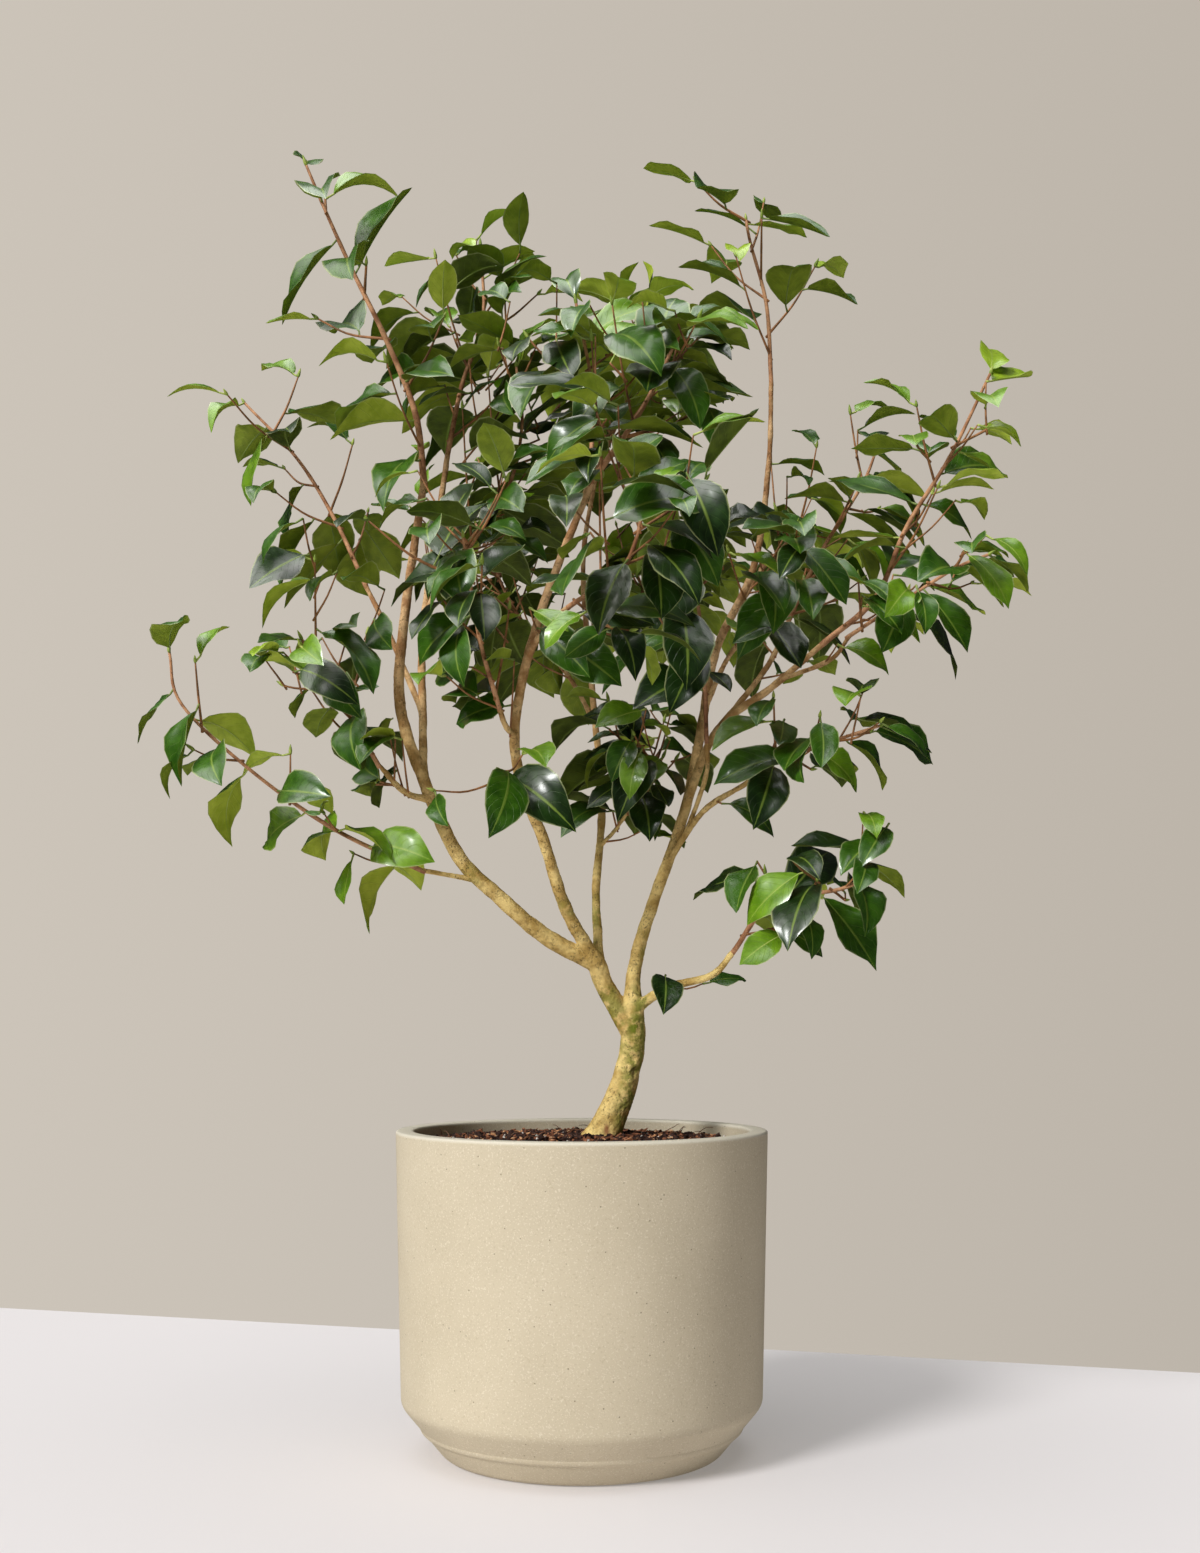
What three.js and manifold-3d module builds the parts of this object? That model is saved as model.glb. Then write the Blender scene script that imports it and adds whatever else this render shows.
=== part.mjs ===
/*
 * A camellia shrub in a round planter: a leaning trunk that forks low, slender tapering boughs,
 * and a crown of leafy sprays round them.
 *
 * Millimetres, +Z up. The origin is the centre of the pot's flat underside, and the plant's front faces -Y.
 * Limbs are tapered tubes along smooth routes. Each spray grows by a seeded rule: twigs round a stem, then
 * leaves round the twigs, all of them kept in the spray's own space, which is whatever lies nearer to its
 * stem than to the stem of any other spray.
 */
import * as THREE from 'three';
import { mergeVertices } from 'three/addons/utils/BufferGeometryUtils.js';
import Module from 'manifold-3d';

const wasm = await Module();
wasm.setup();

// ---------------------------------------------------------------------------------------------------------
// Driving dimensions
// ---------------------------------------------------------------------------------------------------------

const POT = {
  height: 321, rimRadius: 185, waistRadius: 180, footRadius: 138, chamferHeight: 52,
  wall: 18, floor: 22, edge: 3, sides: 32,
};
const SOIL = { wallLevel: 304, crownLevel: 312, padRadius: 50, sides: 24 };

const GAP = 0.3;              // between two solids that meet
const SLIVER = 0.05;          // edges shorter than this are merged away
const CLEARANCE = 0.35;       // cut round each limb, so that what grows on it meets it that gap away
const STEP = { trunk: 18, bough: 40, stem: 38, twig: 75 };   // from one ring of a tube to the next
const ROOT_FLARE = { extra: 12, fade: 22 };
const COLLAR = { extra: 0.3, fade: 2.2 };   // swelling where a limb leaves another, in its own radii

const TWIG = { lean: 50, stemRadius: 3.2, radius: 2.1, tipRadius: 1.6 };
const LEAF = {
  length: 84, width: 0.56, widest: 0.42, stalk: 8, sunk: 0.9,
  gap: 35,                    // along a shoot, from one leaf to the next
  fold: 0.16, recurve: 0.08,  // edges lifted by this share of half the width, tip dropped by this of the length
  keel: 0.024, keelAt: 0.15,  // depth of the midrib's keel and its place, in lengths
  rise: 0.5,                  // share that is left of a leaf's upward slope
  young: 0.35,                // a leaf at a shoot's tip is this much shorter
};
const HANG = { levelAbove: 1200, hangBelow: 650 };   // leaves stand out level up there, and hang down here
const SPACE_GAP = 4;          // a spray's space ends this much nearer to its own stem
const LIMB_GAP = 4;           // from any leaf or twig to any limb
const GOLDEN_ANGLE = THREE.MathUtils.degToRad(137.5);
const TURN = 2 * Math.PI;

const COLORS = { pot: 0xd9cdb5, soil: 0x3b2a1c, bark: 0xb99a63, leaf: 0x27421c };

/*
 * Every limb: the limb it grows on and how far along that one, its route from there, and its radius at the
 * start and at the end. The trunk's route starts under the soil's surface, where it is cut off flat.
 */
const TRUNK_FOOT = SOIL.crownLevel + GAP;
const LIMBS = {
  trunk: { on: null, route: [[10, -1, 290], [38, 2, 354], [50, 2, 400], [51, 0, 430], [50, 0, 446]], thick: [16, 11] },
  left_fork: { on: 'trunk', at: 0.82, route: [[24, -4, 462], [15, -10, 486]], thick: [10, 9] },
  left_bough: {
    on: 'left_fork', at: 1, thick: [8.5, 3.4],
    route: [[-35, -20, 512], [-80, -35, 550], [-120, -42, 590], [-152, -50, 660], [-176, -50, 735],
      [-172, -55, 815], [-152, -60, 950]],
  },
  inner_left_bough: {
    on: 'left_bough', at: 0.47, thick: [4.4, 2.8],
    route: [[-158, -10, 725], [-162, 20, 815], [-155, 45, 895], [-140, 70, 1020]],
  },
  middle_bough: {
    on: 'left_fork', at: 1, thick: [6.6, 3.2],
    route: [[-15, -35, 538], [-36, -65, 602], [-60, -85, 668], [-60, -95, 728], [-35, -110, 820], [10, -125, 930]],
  },
  back_bough: {
    on: 'left_fork', at: 0.9, thick: [4.6, 2.2],
    route: [[14, 25, 560], [20, 60, 655], [10, 95, 775], [0, 130, 920], [15, 160, 1030]],
  },
  right_bough: {
    on: 'trunk', at: 1, thick: [6.8, 2.3],
    route: [[54, 4, 490], [71, 6, 547], [102, 12, 636], [119, 20, 716], [136, 30, 805], [176, 45, 896],
      [192, 55, 1003], [195, 60, 1090]],
  },
  low_right_bough: { on: 'trunk', at: 0.96, route: [[85, -14, 462], [128, -24, 474], [148, -32, 496]], thick: [5, 2.8] },
  right_side_bough: { on: 'right_bough', at: 0.26, route: [[130, -25, 710], [186, -45, 755], [235, -60, 795]], thick: [5, 2.9] },
  right_back_bough: { on: 'right_side_bough', at: 0.5, route: [[186, 5, 785], [205, 25, 825]], thick: [3.2, 2.6] },
  right_middle_bough: { on: 'right_bough', at: 0.22, route: [[120, -25, 636], [160, -55, 660], [176, -66, 676]], thick: [3.4, 2.4] },
  left_side_bough: { on: 'inner_left_bough', at: 0.22, route: [[-195, 25, 820], [-222, 38, 875]], thick: [3.2, 2.4] },
  left_middle_bough: { on: 'left_bough', at: 0.43, route: [[-170, -62, 650], [-195, -76, 676]], thick: [3.4, 2.4] },
  low_left_bough: { on: 'left_bough', at: 0.26, route: [[-135, -52, 572], [-155, -60, 575]], thick: [3, 2.2] },
  front_left_bough: { on: 'middle_bough', at: 0.5, route: [[-70, -115, 705], [-76, -130, 722]], thick: [3, 2.3] },
  center_left_bough: { on: 'inner_left_bough', at: 0.5, route: [[-140, 30, 888], [-120, 14, 905]], thick: [2.8, 2.2] },
  crown_bough: { on: 'middle_bough', at: 0.86, route: [[6, -108, 930], [10, -92, 965]], thick: [2.8, 2.3] },
  front_bough: { on: 'middle_bough', at: 0.66, route: [[-30, -140, 795], [-8, -172, 805]], thick: [3, 2.4] },
  back_right_bough: { on: 'back_bough', at: 0.66, route: [[20, 135, 850], [40, 165, 875]], thick: [2.6, 2.2] },
  back_left_bough: { on: 'back_bough', at: 0.48, route: [[-10, 130, 790], [-32, 165, 825]], thick: [2.8, 2.3] },
  inner_right_bough: { on: 'right_middle_bough', at: 0.25, route: [[122, -30, 670], [122, -42, 705]], thick: [2.6, 2.2] },
  front_right_bough: { on: 'right_bough', at: 0.46, route: [[140, -20, 780], [152, -60, 795]], thick: [2.8, 2.3] },
  outer_back_bough: { on: 'right_bough', at: 0.62, route: [[172, 75, 875], [190, 110, 910]], thick: [2.6, 2.1] },
  right_spray_bough: { on: 'right_side_bough', at: 0.78, route: [[238, -75, 775], [255, -90, 795]], thick: [2.4, 2] },
  low_center_bough: { on: 'back_bough', at: 0.24, route: [[34, 42, 625], [48, 30, 645]], thick: [2.4, 2] },
  low_front_bough: { on: 'middle_bough', at: 0.33, route: [[-58, -88, 648], [-68, -98, 656]], thick: [2.2, 1.9] },
};

/* Every spray: the limb whose tip it goes on from, its stem's route, its twigs and how long they are, its seed. */
const SPRAYS = {
  top_left: {
    on: 'left_bough', twigs: 5, reach: 105, seed: 9,
    route: [[-160, -65, 1015], [-188, -70, 1085], [-220, -75, 1150], [-245, -80, 1205], [-262, -82, 1245]],
  },
  upper_left: { on: 'inner_left_bough', route: [[-126, 80, 1095], [-105, 90, 1165], [-108, 94, 1245]], twigs: 5, reach: 110, seed: 28 },
  left: { on: 'left_side_bough', route: [[-255, 50, 945], [-295, 60, 1010], [-352, 72, 1072]], twigs: 6, reach: 90, seed: 17 },
  left_middle: { on: 'left_middle_bough', route: [[-225, -95, 730], [-262, -105, 788]], twigs: 5, reach: 110, seed: 20 },
  low_left: {
    on: 'low_left_bough', twigs: 5, reach: 65, seed: 13,
    route: [[-235, -88, 612], [-310, -110, 665], [-372, -120, 725], [-382, -125, 772]],
  },
  front_left: { on: 'front_left_bough', route: [[-92, -160, 780], [-105, -195, 870]], twigs: 6, reach: 115, seed: 6 },
  center_left: { on: 'center_left_bough', route: [[-75, 0, 960], [-60, 0, 1025], [-66, 5, 1085]], twigs: 5, reach: 110, seed: 6 },
  center_top: { on: 'middle_bough', route: [[55, -130, 993], [90, -136, 1060]], twigs: 5, reach: 105, seed: 18 },
  crown: { on: 'crown_bough', route: [[10, -70, 1040], [-5, -65, 1120]], twigs: 5, reach: 110, seed: 35 },
  back_top: { on: 'back_bough', route: [[45, 180, 1105], [70, 190, 1170]], twigs: 5, reach: 105, seed: 11 },
  front: { on: 'front_bough', route: [[40, -215, 830], [60, -245, 890]], twigs: 6, reach: 115, seed: 40 },
  back_right: { on: 'back_right_bough', route: [[80, 215, 925], [115, 250, 990]], twigs: 5, reach: 110, seed: 23 },
  back_left: { on: 'back_left_bough', route: [[-80, 225, 895], [-125, 265, 1000]], twigs: 6, reach: 115, seed: 22 },
  inner_right: { on: 'inner_right_bough', route: [[118, -60, 780], [108, -68, 860], [92, -75, 940]], twigs: 5, reach: 110, seed: 28 },
  top_right: { on: 'right_bough', route: [[190, 60, 1170], [172, 60, 1240], [165, 60, 1290]], twigs: 6, reach: 85, seed: 34 },
  right: { on: 'right_back_bough', route: [[242, 48, 905], [290, 66, 985], [308, 72, 1030]], twigs: 5, reach: 105, seed: 11 },
  far_right: {
    on: 'right_side_bough', twigs: 5, reach: 85, seed: 23,
    route: [[282, -75, 835], [310, -85, 900], [350, -90, 965], [386, -100, 1040]],
  },
  right_spray: { on: 'right_spray_bough', route: [[300, -110, 822], [350, -120, 852], [378, -128, 862]], twigs: 4, reach: 70, seed: 31 },
  right_middle: { on: 'right_middle_bough', route: [[225, -95, 690], [280, -112, 706]], twigs: 5, reach: 80, seed: 30 },
  low_right: { on: 'low_right_bough', route: [[185, -60, 545], [250, -84, 556], [314, -98, 588]], twigs: 5, reach: 90, seed: 1 },
  front_right: { on: 'front_right_bough', route: [[180, -130, 825], [196, -185, 865]], twigs: 5, reach: 105, seed: 37 },
  outer_back: { on: 'outer_back_bough', route: [[225, 165, 955], [250, 200, 1000]], twigs: 6, reach: 95, seed: 27 },
  low_center: { on: 'low_center_bough', route: [[66, 5, 668], [80, -15, 690]], twigs: 5, reach: 90, seed: 35 },
  low_front: { on: 'low_front_bough', route: [[-82, -120, 670], [-95, -145, 672]], twigs: 5, reach: 80, seed: 3 },
};

// ---------------------------------------------------------------------------------------------------------
// Lines, sections and solids
// ---------------------------------------------------------------------------------------------------------

const UP = new THREE.Vector3(0, 0, 1);
const { clamp, lerp, degToRad } = THREE.MathUtils;

/** A smooth line through a few points, held as straight steps of about one length. */
class Line {
  constructor(points, step) {
    const knots = points.map((p) => (p.isVector3 ? p : new THREE.Vector3(...p)));
    const curve = new THREE.CatmullRomCurve3(knots, false, 'catmullrom', 0.5);
    const fine = curve.getPoints(24 * (knots.length - 1));
    const reach = [0];
    for (let i = 1; i < fine.length; i++) reach.push(reach[i - 1] + fine[i].distanceTo(fine[i - 1]));
    this.length = reach.at(-1);
    this.steps = Math.max(1, Math.round(this.length / step));
    this.points = [];
    let i = 1;
    for (let k = 0; k <= this.steps; k++) {
      const along = (this.length * k) / this.steps;
      while (i < fine.length - 1 && reach[i] < along) i++;
      this.points.push(fine[i - 1].clone().lerp(fine[i], (along - reach[i - 1]) / (reach[i] - reach[i - 1])));
    }
  }

  /** Points all along it, close together. */
  samples(spacing = 6) {
    const count = Math.ceil(this.length / spacing);
    return Array.from({ length: count + 1 }, (_, i) => this.at(i / count));
  }

  segments() {
    return this.points.slice(1).map((end, i) => [this.points[i], end]);
  }

  /** The step that a share of the length falls in, and how far into it. */
  place(share) {
    const at = clamp(share, 0, 1) * this.steps;
    const i = Math.min(Math.floor(at), this.steps - 1);
    return [i, at - i];
  }

  at(share) {
    const [i, rest] = this.place(share);
    return this.points[i].clone().lerp(this.points[i + 1], rest);
  }

  direction(share) {
    const [i] = this.place(share);
    return this.points[i + 1].clone().sub(this.points[i]).normalize();
  }
}

/** Two directions at right angles to an axis and to each other. */
function across(axis) {
  const reference = Math.abs(axis.z) < 0.8 ? UP : new THREE.Vector3(1, 0, 0);
  const first = axis.clone().cross(reference).normalize();
  return [first, axis.clone().cross(first)];
}

/** A vector that is the sum of directions, each given with its length. */
function sum(...terms) {
  const total = new THREE.Vector3();
  for (const [direction, length] of terms) total.addScaledVector(direction, length);
  return total;
}

/** The closed solid that a geometry's triangles bound. */
function solidOf(geometry) {
  const bare = geometry.clone();
  bare.deleteAttribute('normal');
  bare.deleteAttribute('uv');
  const merged = mergeVertices(bare, 1e-4);
  return new wasm.Manifold(new wasm.Mesh({
    numProp: 3,
    vertProperties: Float32Array.from(merged.attributes.position.array),
    triVerts: Uint32Array.from(merged.index.array),
  }));
}

function geometryOf(solid) {
  const { vertProperties, triVerts } = solid.getMesh();
  const geometry = new THREE.BufferGeometry();
  geometry.setAttribute('position', new THREE.BufferAttribute(Float32Array.from(vertProperties), 3));
  geometry.setIndex(new THREE.BufferAttribute(Uint32Array.from(triVerts), 1));
  return geometry;
}

/** The one main body of a solid without its slivers: loose scraps go, and a sealed hollow is filled. */
function mainBody(solid) {
  return solid.simplify(SLIVER).decompose().reduce((a, b) => (b.volume() > a.volume() ? b : a));
}

/**
 * A cylinder laid along a line, with a ring at each of its points: radius(share) is its radius there, and it
 * runs past both ends by `beyond`. Each ring keeps the last one's turn, so the tube doesn't twist.
 */
function tube(line, radius, sides, beyond = 0) {
  const rings = line.steps;
  const geometry = new THREE.CylinderGeometry(1, 1, 1, sides, rings);
  const frames = [];
  let turned = across(line.direction(0))[0];
  for (let i = 0; i <= rings; i++) {
    const axis = line.direction((i - 0.5) / rings).add(line.direction((i + 0.5) / rings)).normalize();
    turned = turned.clone().addScaledVector(axis, -turned.dot(axis)).normalize();
    const centre = line.points[i].clone();
    if (i === 0) centre.addScaledVector(axis, -beyond);
    if (i === rings) centre.addScaledVector(axis, beyond);
    frames.push({ centre, side: turned, other: turned.clone().cross(axis), r: radius(i / rings) });
  }
  const at = geometry.attributes.position;
  for (let v = 0; v < at.count; v++) {
    const { centre, side, other, r } = frames[Math.round((at.getY(v) + 0.5) * rings)];
    const p = sum([centre, 1], [side, r * at.getX(v)], [other, r * at.getZ(v)]);
    at.setXYZ(v, p.x, p.y, p.z);
  }
  return solidOf(geometry);
}

// ---------------------------------------------------------------------------------------------------------
// Pot and soil
// ---------------------------------------------------------------------------------------------------------

/** A turned solid from its profile of [radius, height], which starts and ends on the axis. */
function turned(profile, sides) {
  const geometry = new THREE.LatheGeometry(profile.map(([r, z]) => new THREE.Vector2(r, z)), sides);
  return solidOf(geometry.rotateX(Math.PI / 2));
}

const potInside = POT.rimRadius - POT.wall;
const potFloorRadius = POT.footRadius - 4;

function pot() {
  const { height, rimRadius, waistRadius, footRadius, chamferHeight, floor, edge, sides } = POT;
  return turned([
    [0, 0], [footRadius, 0], [waistRadius, chamferHeight],
    [rimRadius, height - edge], [rimRadius - edge, height],
    [potInside + edge, height], [potInside, height - edge],
    [potInside - 4, chamferHeight + floor], [potFloorRadius, floor], [0, floor],
  ], sides);
}

function soil() {
  const wall = potInside - 2 * GAP;
  return turned([
    [0, POT.floor + GAP], [potFloorRadius - 3, POT.floor + GAP], [potInside - 4 - 3, POT.chamferHeight + POT.floor],
    [wall - 1, SOIL.wallLevel], [100, 308], [SOIL.padRadius, SOIL.crownLevel], [0, SOIL.crownLevel],
  ], SOIL.sides);
}

// ---------------------------------------------------------------------------------------------------------
// Trunk and boughs
// ---------------------------------------------------------------------------------------------------------

/** Where a limb runs: from the middle of the limb that it grows on. */
function limbLine({ on, at, route }, lines) {
  return on ? new Line([lines[on].at(at), ...route], STEP.bough) : new Line(route, STEP.trunk);
}

/** A limb's radius along it: an even taper, with a flare at the trunk's foot or a collar where a bough starts. */
function limbRadius({ on, thick: [start, end] }, length) {
  const swell = on ? { extra: COLLAR.extra * start, fade: COLLAR.fade * start } : ROOT_FLARE;
  return (share) => lerp(start, end, share) + swell.extra * Math.exp((-share * length) / swell.fade);
}

const limbLines = {};
for (const [name, limb] of Object.entries(LIMBS)) limbLines[name] = limbLine(limb, limbLines);

/** Limbs in order, each cut clear of every limb before it. */
function growLimbs() {
  const limbs = {};
  const clearances = {};
  for (const [name, limb] of Object.entries(LIMBS)) {
    const line = limbLines[name];
    const radius = limbRadius(limb, line.length);
    const sides = limb.on === null ? 10 : limb.thick[0] > 4 ? 6 : 5;
    let solid = tube(line, radius, sides);
    if (limb.on === null) solid = solid.trimByPlane([0, 0, 1], TRUNK_FOOT);
    for (const before of Object.values(clearances)) solid = solid.subtract(before);
    limbs[name] = mainBody(solid);
    clearances[name] = tube(line, (share) => radius(share) + CLEARANCE, sides, CLEARANCE);
  }
  return { limbs, clearances };
}

// ---------------------------------------------------------------------------------------------------------
// The growth rule
// ---------------------------------------------------------------------------------------------------------

/** A number from 0 to 1 that depends only on these three. */
function chance(seed, index, what) {
  const x = Math.sin(seed * 12.9898 + index * 78.233 + what * 37.719) * 43758.5453;
  return x - Math.floor(x);
}

/** What each drawn number is for. */
const DRAW = {
  lean: 2, hang: 3, roll: 4, length: 5, width: 6, turn: 7, twigPlace: 11, twigLength: 12, twigTurn: 13, twigLean: 14,
};

const stems = {};
for (const [name, { on, route }] of Object.entries(SPRAYS)) {
  const tip = limbLines[on].at(1).addScaledVector(limbLines[on].direction(1), GAP);
  stems[name] = new Line([tip, ...route], STEP.stem);
}
const stemPoints = Object.fromEntries(Object.entries(stems).map(([name, stem]) => [name, stem.samples()]));

const limbPoints = [];
const limbSegments = [];
for (const [name, { thick }] of Object.entries(LIMBS)) {
  const points = limbLines[name].samples();
  points.forEach((p, i) => limbPoints.push({ p, r: lerp(...thick, i / (points.length - 1)) }));
  limbSegments.push(...limbLines[name].segments());
}

/** Distance from a point to the nearest of some others. */
const nearest = (point, others) => Math.min(...others.map((p) => p.distanceTo(point)));

/** Whether points are all in a spray's own space, and clear of every limb. */
function isFree(name, points) {
  const others = Object.keys(stems).filter((other) => other !== name).flatMap((other) => stemPoints[other]);
  return points.every((point) => nearest(point, stemPoints[name]) + SPACE_GAP < nearest(point, others)
    && limbPoints.every(({ p, r }) => p.distanceTo(point) - r > LIMB_GAP));
}

/** Whether a segment passes through a triangle. */
const ray = new THREE.Ray();
const hit = new THREE.Vector3();
function crosses([start, end], [a, b, c]) {
  ray.origin.copy(start);
  ray.direction.copy(end).sub(start);
  const length = ray.direction.length();
  ray.direction.divideScalar(length);
  return ray.intersectTriangle(a, b, c, false, hit) !== null && hit.distanceTo(start) <= length;
}

/** A shoot's twigs: turned by the golden angle from one to the next, leaning out and curving up. */
function growTwigs(name) {
  const { twigs, reach, seed } = SPRAYS[name];
  const stem = stems[name];
  const grown = [];
  for (let k = 0; k < twigs; k++) {
    const share = 0.04 + (0.88 * (k + 0.7 * chance(seed, k, DRAW.twigPlace))) / twigs;
    const root = stem.at(share);
    const axis = stem.direction(share);
    const [e1, e2] = across(axis);
    const length = reach * (1.1 - 0.4 * share) * (0.75 + 0.5 * chance(seed, k, DRAW.twigLength));
    const lean = degToRad(TWIG.lean) * (0.85 + 0.5 * chance(seed, k, DRAW.twigLean));
    for (let attempt = 0; attempt < 5; attempt++) {
      const turn = GOLDEN_ANGLE * k + TURN * chance(seed, 0, DRAW.twigTurn) + attempt * 0.9;
      const out = sum([e1, Math.cos(turn)], [e2, Math.sin(turn)]);
      const way = sum([axis, Math.cos(lean)], [out, Math.sin(lean)]).addScaledVector(UP, 0.15).normalize();
      const size = length * (1 - 0.17 * attempt);
      const middle = sum([root, 1], [way, 0.5 * size]);
      const line = new Line([root, middle, sum([root, 1], [way, 0.92 * size], [UP, 0.14 * size])], STEP.twig);
      if (isFree(name, line.samples().slice(1))) {
        grown.push(line);
        break;
      }
    }
  }
  return grown;
}

/** How a leaf stands on its shoot: its direction, its side and its upper face's normal. */
function leafStance(seed, index, root, axis, turn, nearTip) {
  const [e1, e2] = across(axis);
  const out = sum([e1, Math.cos(turn)], [e2, Math.sin(turn)]);
  const lean = degToRad(50 + 25 * chance(seed, index, DRAW.lean)) * (1 - 0.4 * nearTip);
  const shade = clamp((HANG.levelAbove - root.z) / (HANG.levelAbove - HANG.hangBelow), 0, 1);
  const hang = 0.15 + 0.85 * shade * (0.4 + 0.9 * chance(seed, index, DRAW.hang));
  const forward = Math.cos(lean) * (hang > 0.5 ? 1 - 0.6 * (1 - nearTip) : 1);
  const way = sum([axis, forward], [out, Math.sin(lean)], [UP, -hang * (1 - 0.4 * nearTip)]);
  if (way.z > 0) way.z *= LEAF.rise;
  way.normalize();
  const level = new THREE.Vector3(way.x, way.y, 1e-6).normalize();
  const lift = sum([UP, 1], [level, 0.45]);
  const flat = lift.addScaledVector(way, -lift.dot(way)).normalize();
  const level2 = way.clone().cross(flat);
  const roll = degToRad(60) * (chance(seed, index, DRAW.roll) - 0.5);
  return {
    way,
    normal: sum([flat, Math.cos(roll)], [level2, Math.sin(roll)]),
    side: sum([level2, Math.cos(roll)], [flat, -Math.sin(roll)]),
  };
}

/** A leaf's outline: from the foot of its blade up one edge to the tip and down the other. */
const EDGE = [[0.25, 0.85], [LEAF.widest, 1], [0.7, 0.7]];
function leafOutline({ foot, way, side, normal, length, width }) {
  const edge = (sign) => EDGE.map(([along, out]) => sum(
    [foot, 1], [way, along * length], [side, (sign * out * width) / 2], [normal, (LEAF.fold * width) / 2],
  ));
  const tip = sum([foot, 1], [way, length], [normal, -LEAF.recurve * length]);
  return [foot, ...edge(1), tip, ...edge(-1).reverse()];
}

/** The leaves round every shoot of a spray. One that has no free place in five turns is left out. */
function growLeaves(name, shoots) {
  const { seed } = SPRAYS[name];
  const blocked = limbSegments.filter(([start]) => nearest(start, stemPoints[name]) < 200);
  blocked.push(...shoots.flatMap(({ line }) => line.segments()));
  const leaves = [];
  shoots.forEach(({ line, bare }, shoot) => {
    const first = bare * line.length + 6;
    const count = Math.max(1, Math.round((line.length - first) / LEAF.gap));
    for (let j = 0; j <= count; j++) {
      const index = 100 * shoot + j;
      const share = Math.min(1, (first + ((line.length - first) * j) / count) / line.length);
      const root = line.at(share);
      const nearTip = Math.max(0, 1 - ((1 - share) * line.length) / 55);
      const length = LEAF.length * (0.76 + 0.4 * chance(seed, index, DRAW.length)) * (1 - LEAF.young * nearTip);
      const width = length * LEAF.width * (0.88 + 0.24 * chance(seed, index, DRAW.width));
      for (let attempt = 0; attempt < 5; attempt++) {
        const turn = GOLDEN_ANGLE * j + TURN * chance(seed, shoot, DRAW.turn) + attempt * 1.3;
        const stance = leafStance(seed, index, root, line.direction(share), turn, nearTip);
        const leaf = { root, length, width, ...stance, foot: sum([root, 1], [stance.way, LEAF.stalk]) };
        leaf.outline = leafOutline(leaf);
        if (fits(name, leaf, leaves, blocked)) {
          leaves.push(leaf);
          break;
        }
      }
    }
  });
  return leaves;
}

/** The triangles of an outline, fanned from its foot, and the segments round it. */
function fan(outline) {
  return outline.slice(2).map((p, i) => [outline[0], outline[i + 1], p]);
}

function rim(outline) {
  return outline.map((p, i) => [p, outline[(i + 1) % outline.length]]);
}

function fits(name, leaf, leaves, blocked) {
  const { outline } = leaf;
  const centre = sum(...outline.map((p) => [p, 1 / outline.length]));
  if (!isFree(name, [...outline, centre])) return false;
  const own = fan(outline);
  const ownRim = rim(outline);
  return !blocked.some((segment) => own.some((triangle) => crosses(segment, triangle)))
    && !leaves.some((other) => rim(other.outline).some((segment) => own.some((t) => crosses(segment, t)))
      || ownRim.some((segment) => fan(other.outline).some((t) => crosses(segment, t))));
}

// ---------------------------------------------------------------------------------------------------------
// Sprays as solids
// ---------------------------------------------------------------------------------------------------------

/*
 * A leaf has five corners: its foot inside the twig, its tip, its two edges and the keel of its midrib.
 * Its two upper faces meet where it is widest, so that it arches, and four faces close it below.
 */
const LEAF_FACES = [
  ['foot', 'left', 'right'], ['tip', 'right', 'left'],
  ['foot', 'keel', 'left'], ['foot', 'right', 'keel'], ['tip', 'left', 'keel'], ['tip', 'keel', 'right'],
];

function leafSolid({ root, way, side, normal, length, width }) {
  const lift = (LEAF.fold * width) / 2;
  const widest = LEAF.stalk + LEAF.widest * length;
  const keelAt = LEAF.stalk + LEAF.keelAt * length;
  const corners = {
    foot: sum([root, 1], [way, -LEAF.sunk]),
    tip: sum([root, 1], [way, LEAF.stalk + length], [normal, -LEAF.recurve * length]),
    left: sum([root, 1], [way, widest], [normal, lift], [side, width / 2]),
    right: sum([root, 1], [way, widest], [normal, lift], [side, -width / 2]),
    keel: sum([root, 1], [way, keelAt], [normal, (lift * keelAt) / widest - LEAF.keel * length]),
  };
  return solidOf(new THREE.BufferGeometry().setFromPoints(LEAF_FACES.flat().map((corner) => corners[corner])));
}

/** One spray: stem, twigs and leaves in one body, 0.3 mm clear of the tip of its bough. */
function spray(name, clearances) {
  const stem = stems[name];
  const shoots = [{ line: stem, bare: 0.05 }, ...growTwigs(name).map((line) => ({ line, bare: 0.28 }))];
  const parts = shoots.map(({ line }, i) => {
    const [start, end] = i === 0 ? [TWIG.stemRadius, TWIG.radius] : [TWIG.radius, TWIG.tipRadius];
    return tube(line, (share) => lerp(start, end, share), i === 0 ? 4 : 3);
  });
  parts.push(...growLeaves(name, shoots).map(leafSolid));
  return mainBody(wasm.Manifold.union(parts).subtract(clearances[SPRAYS[name].on]));
}

// ---------------------------------------------------------------------------------------------------------
// The plant
// ---------------------------------------------------------------------------------------------------------

const plant = new THREE.Group();

function add(name, solid, color, roughness) {
  const mesh = new THREE.Mesh(geometryOf(solid), new THREE.MeshStandardMaterial({ color, roughness, metalness: 0 }));
  mesh.name = name;
  plant.add(mesh);
}

add('pot', pot(), COLORS.pot, 0.85);
add('soil', soil(), COLORS.soil, 1);
const { limbs, clearances } = growLimbs();
for (const [name, solid] of Object.entries(limbs)) add(name, solid, COLORS.bark, 0.8);
for (const name of Object.keys(SPRAYS)) add(`foliage_${name}`, spray(name, clearances), COLORS.leaf, 0.4);

export default plant;
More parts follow.
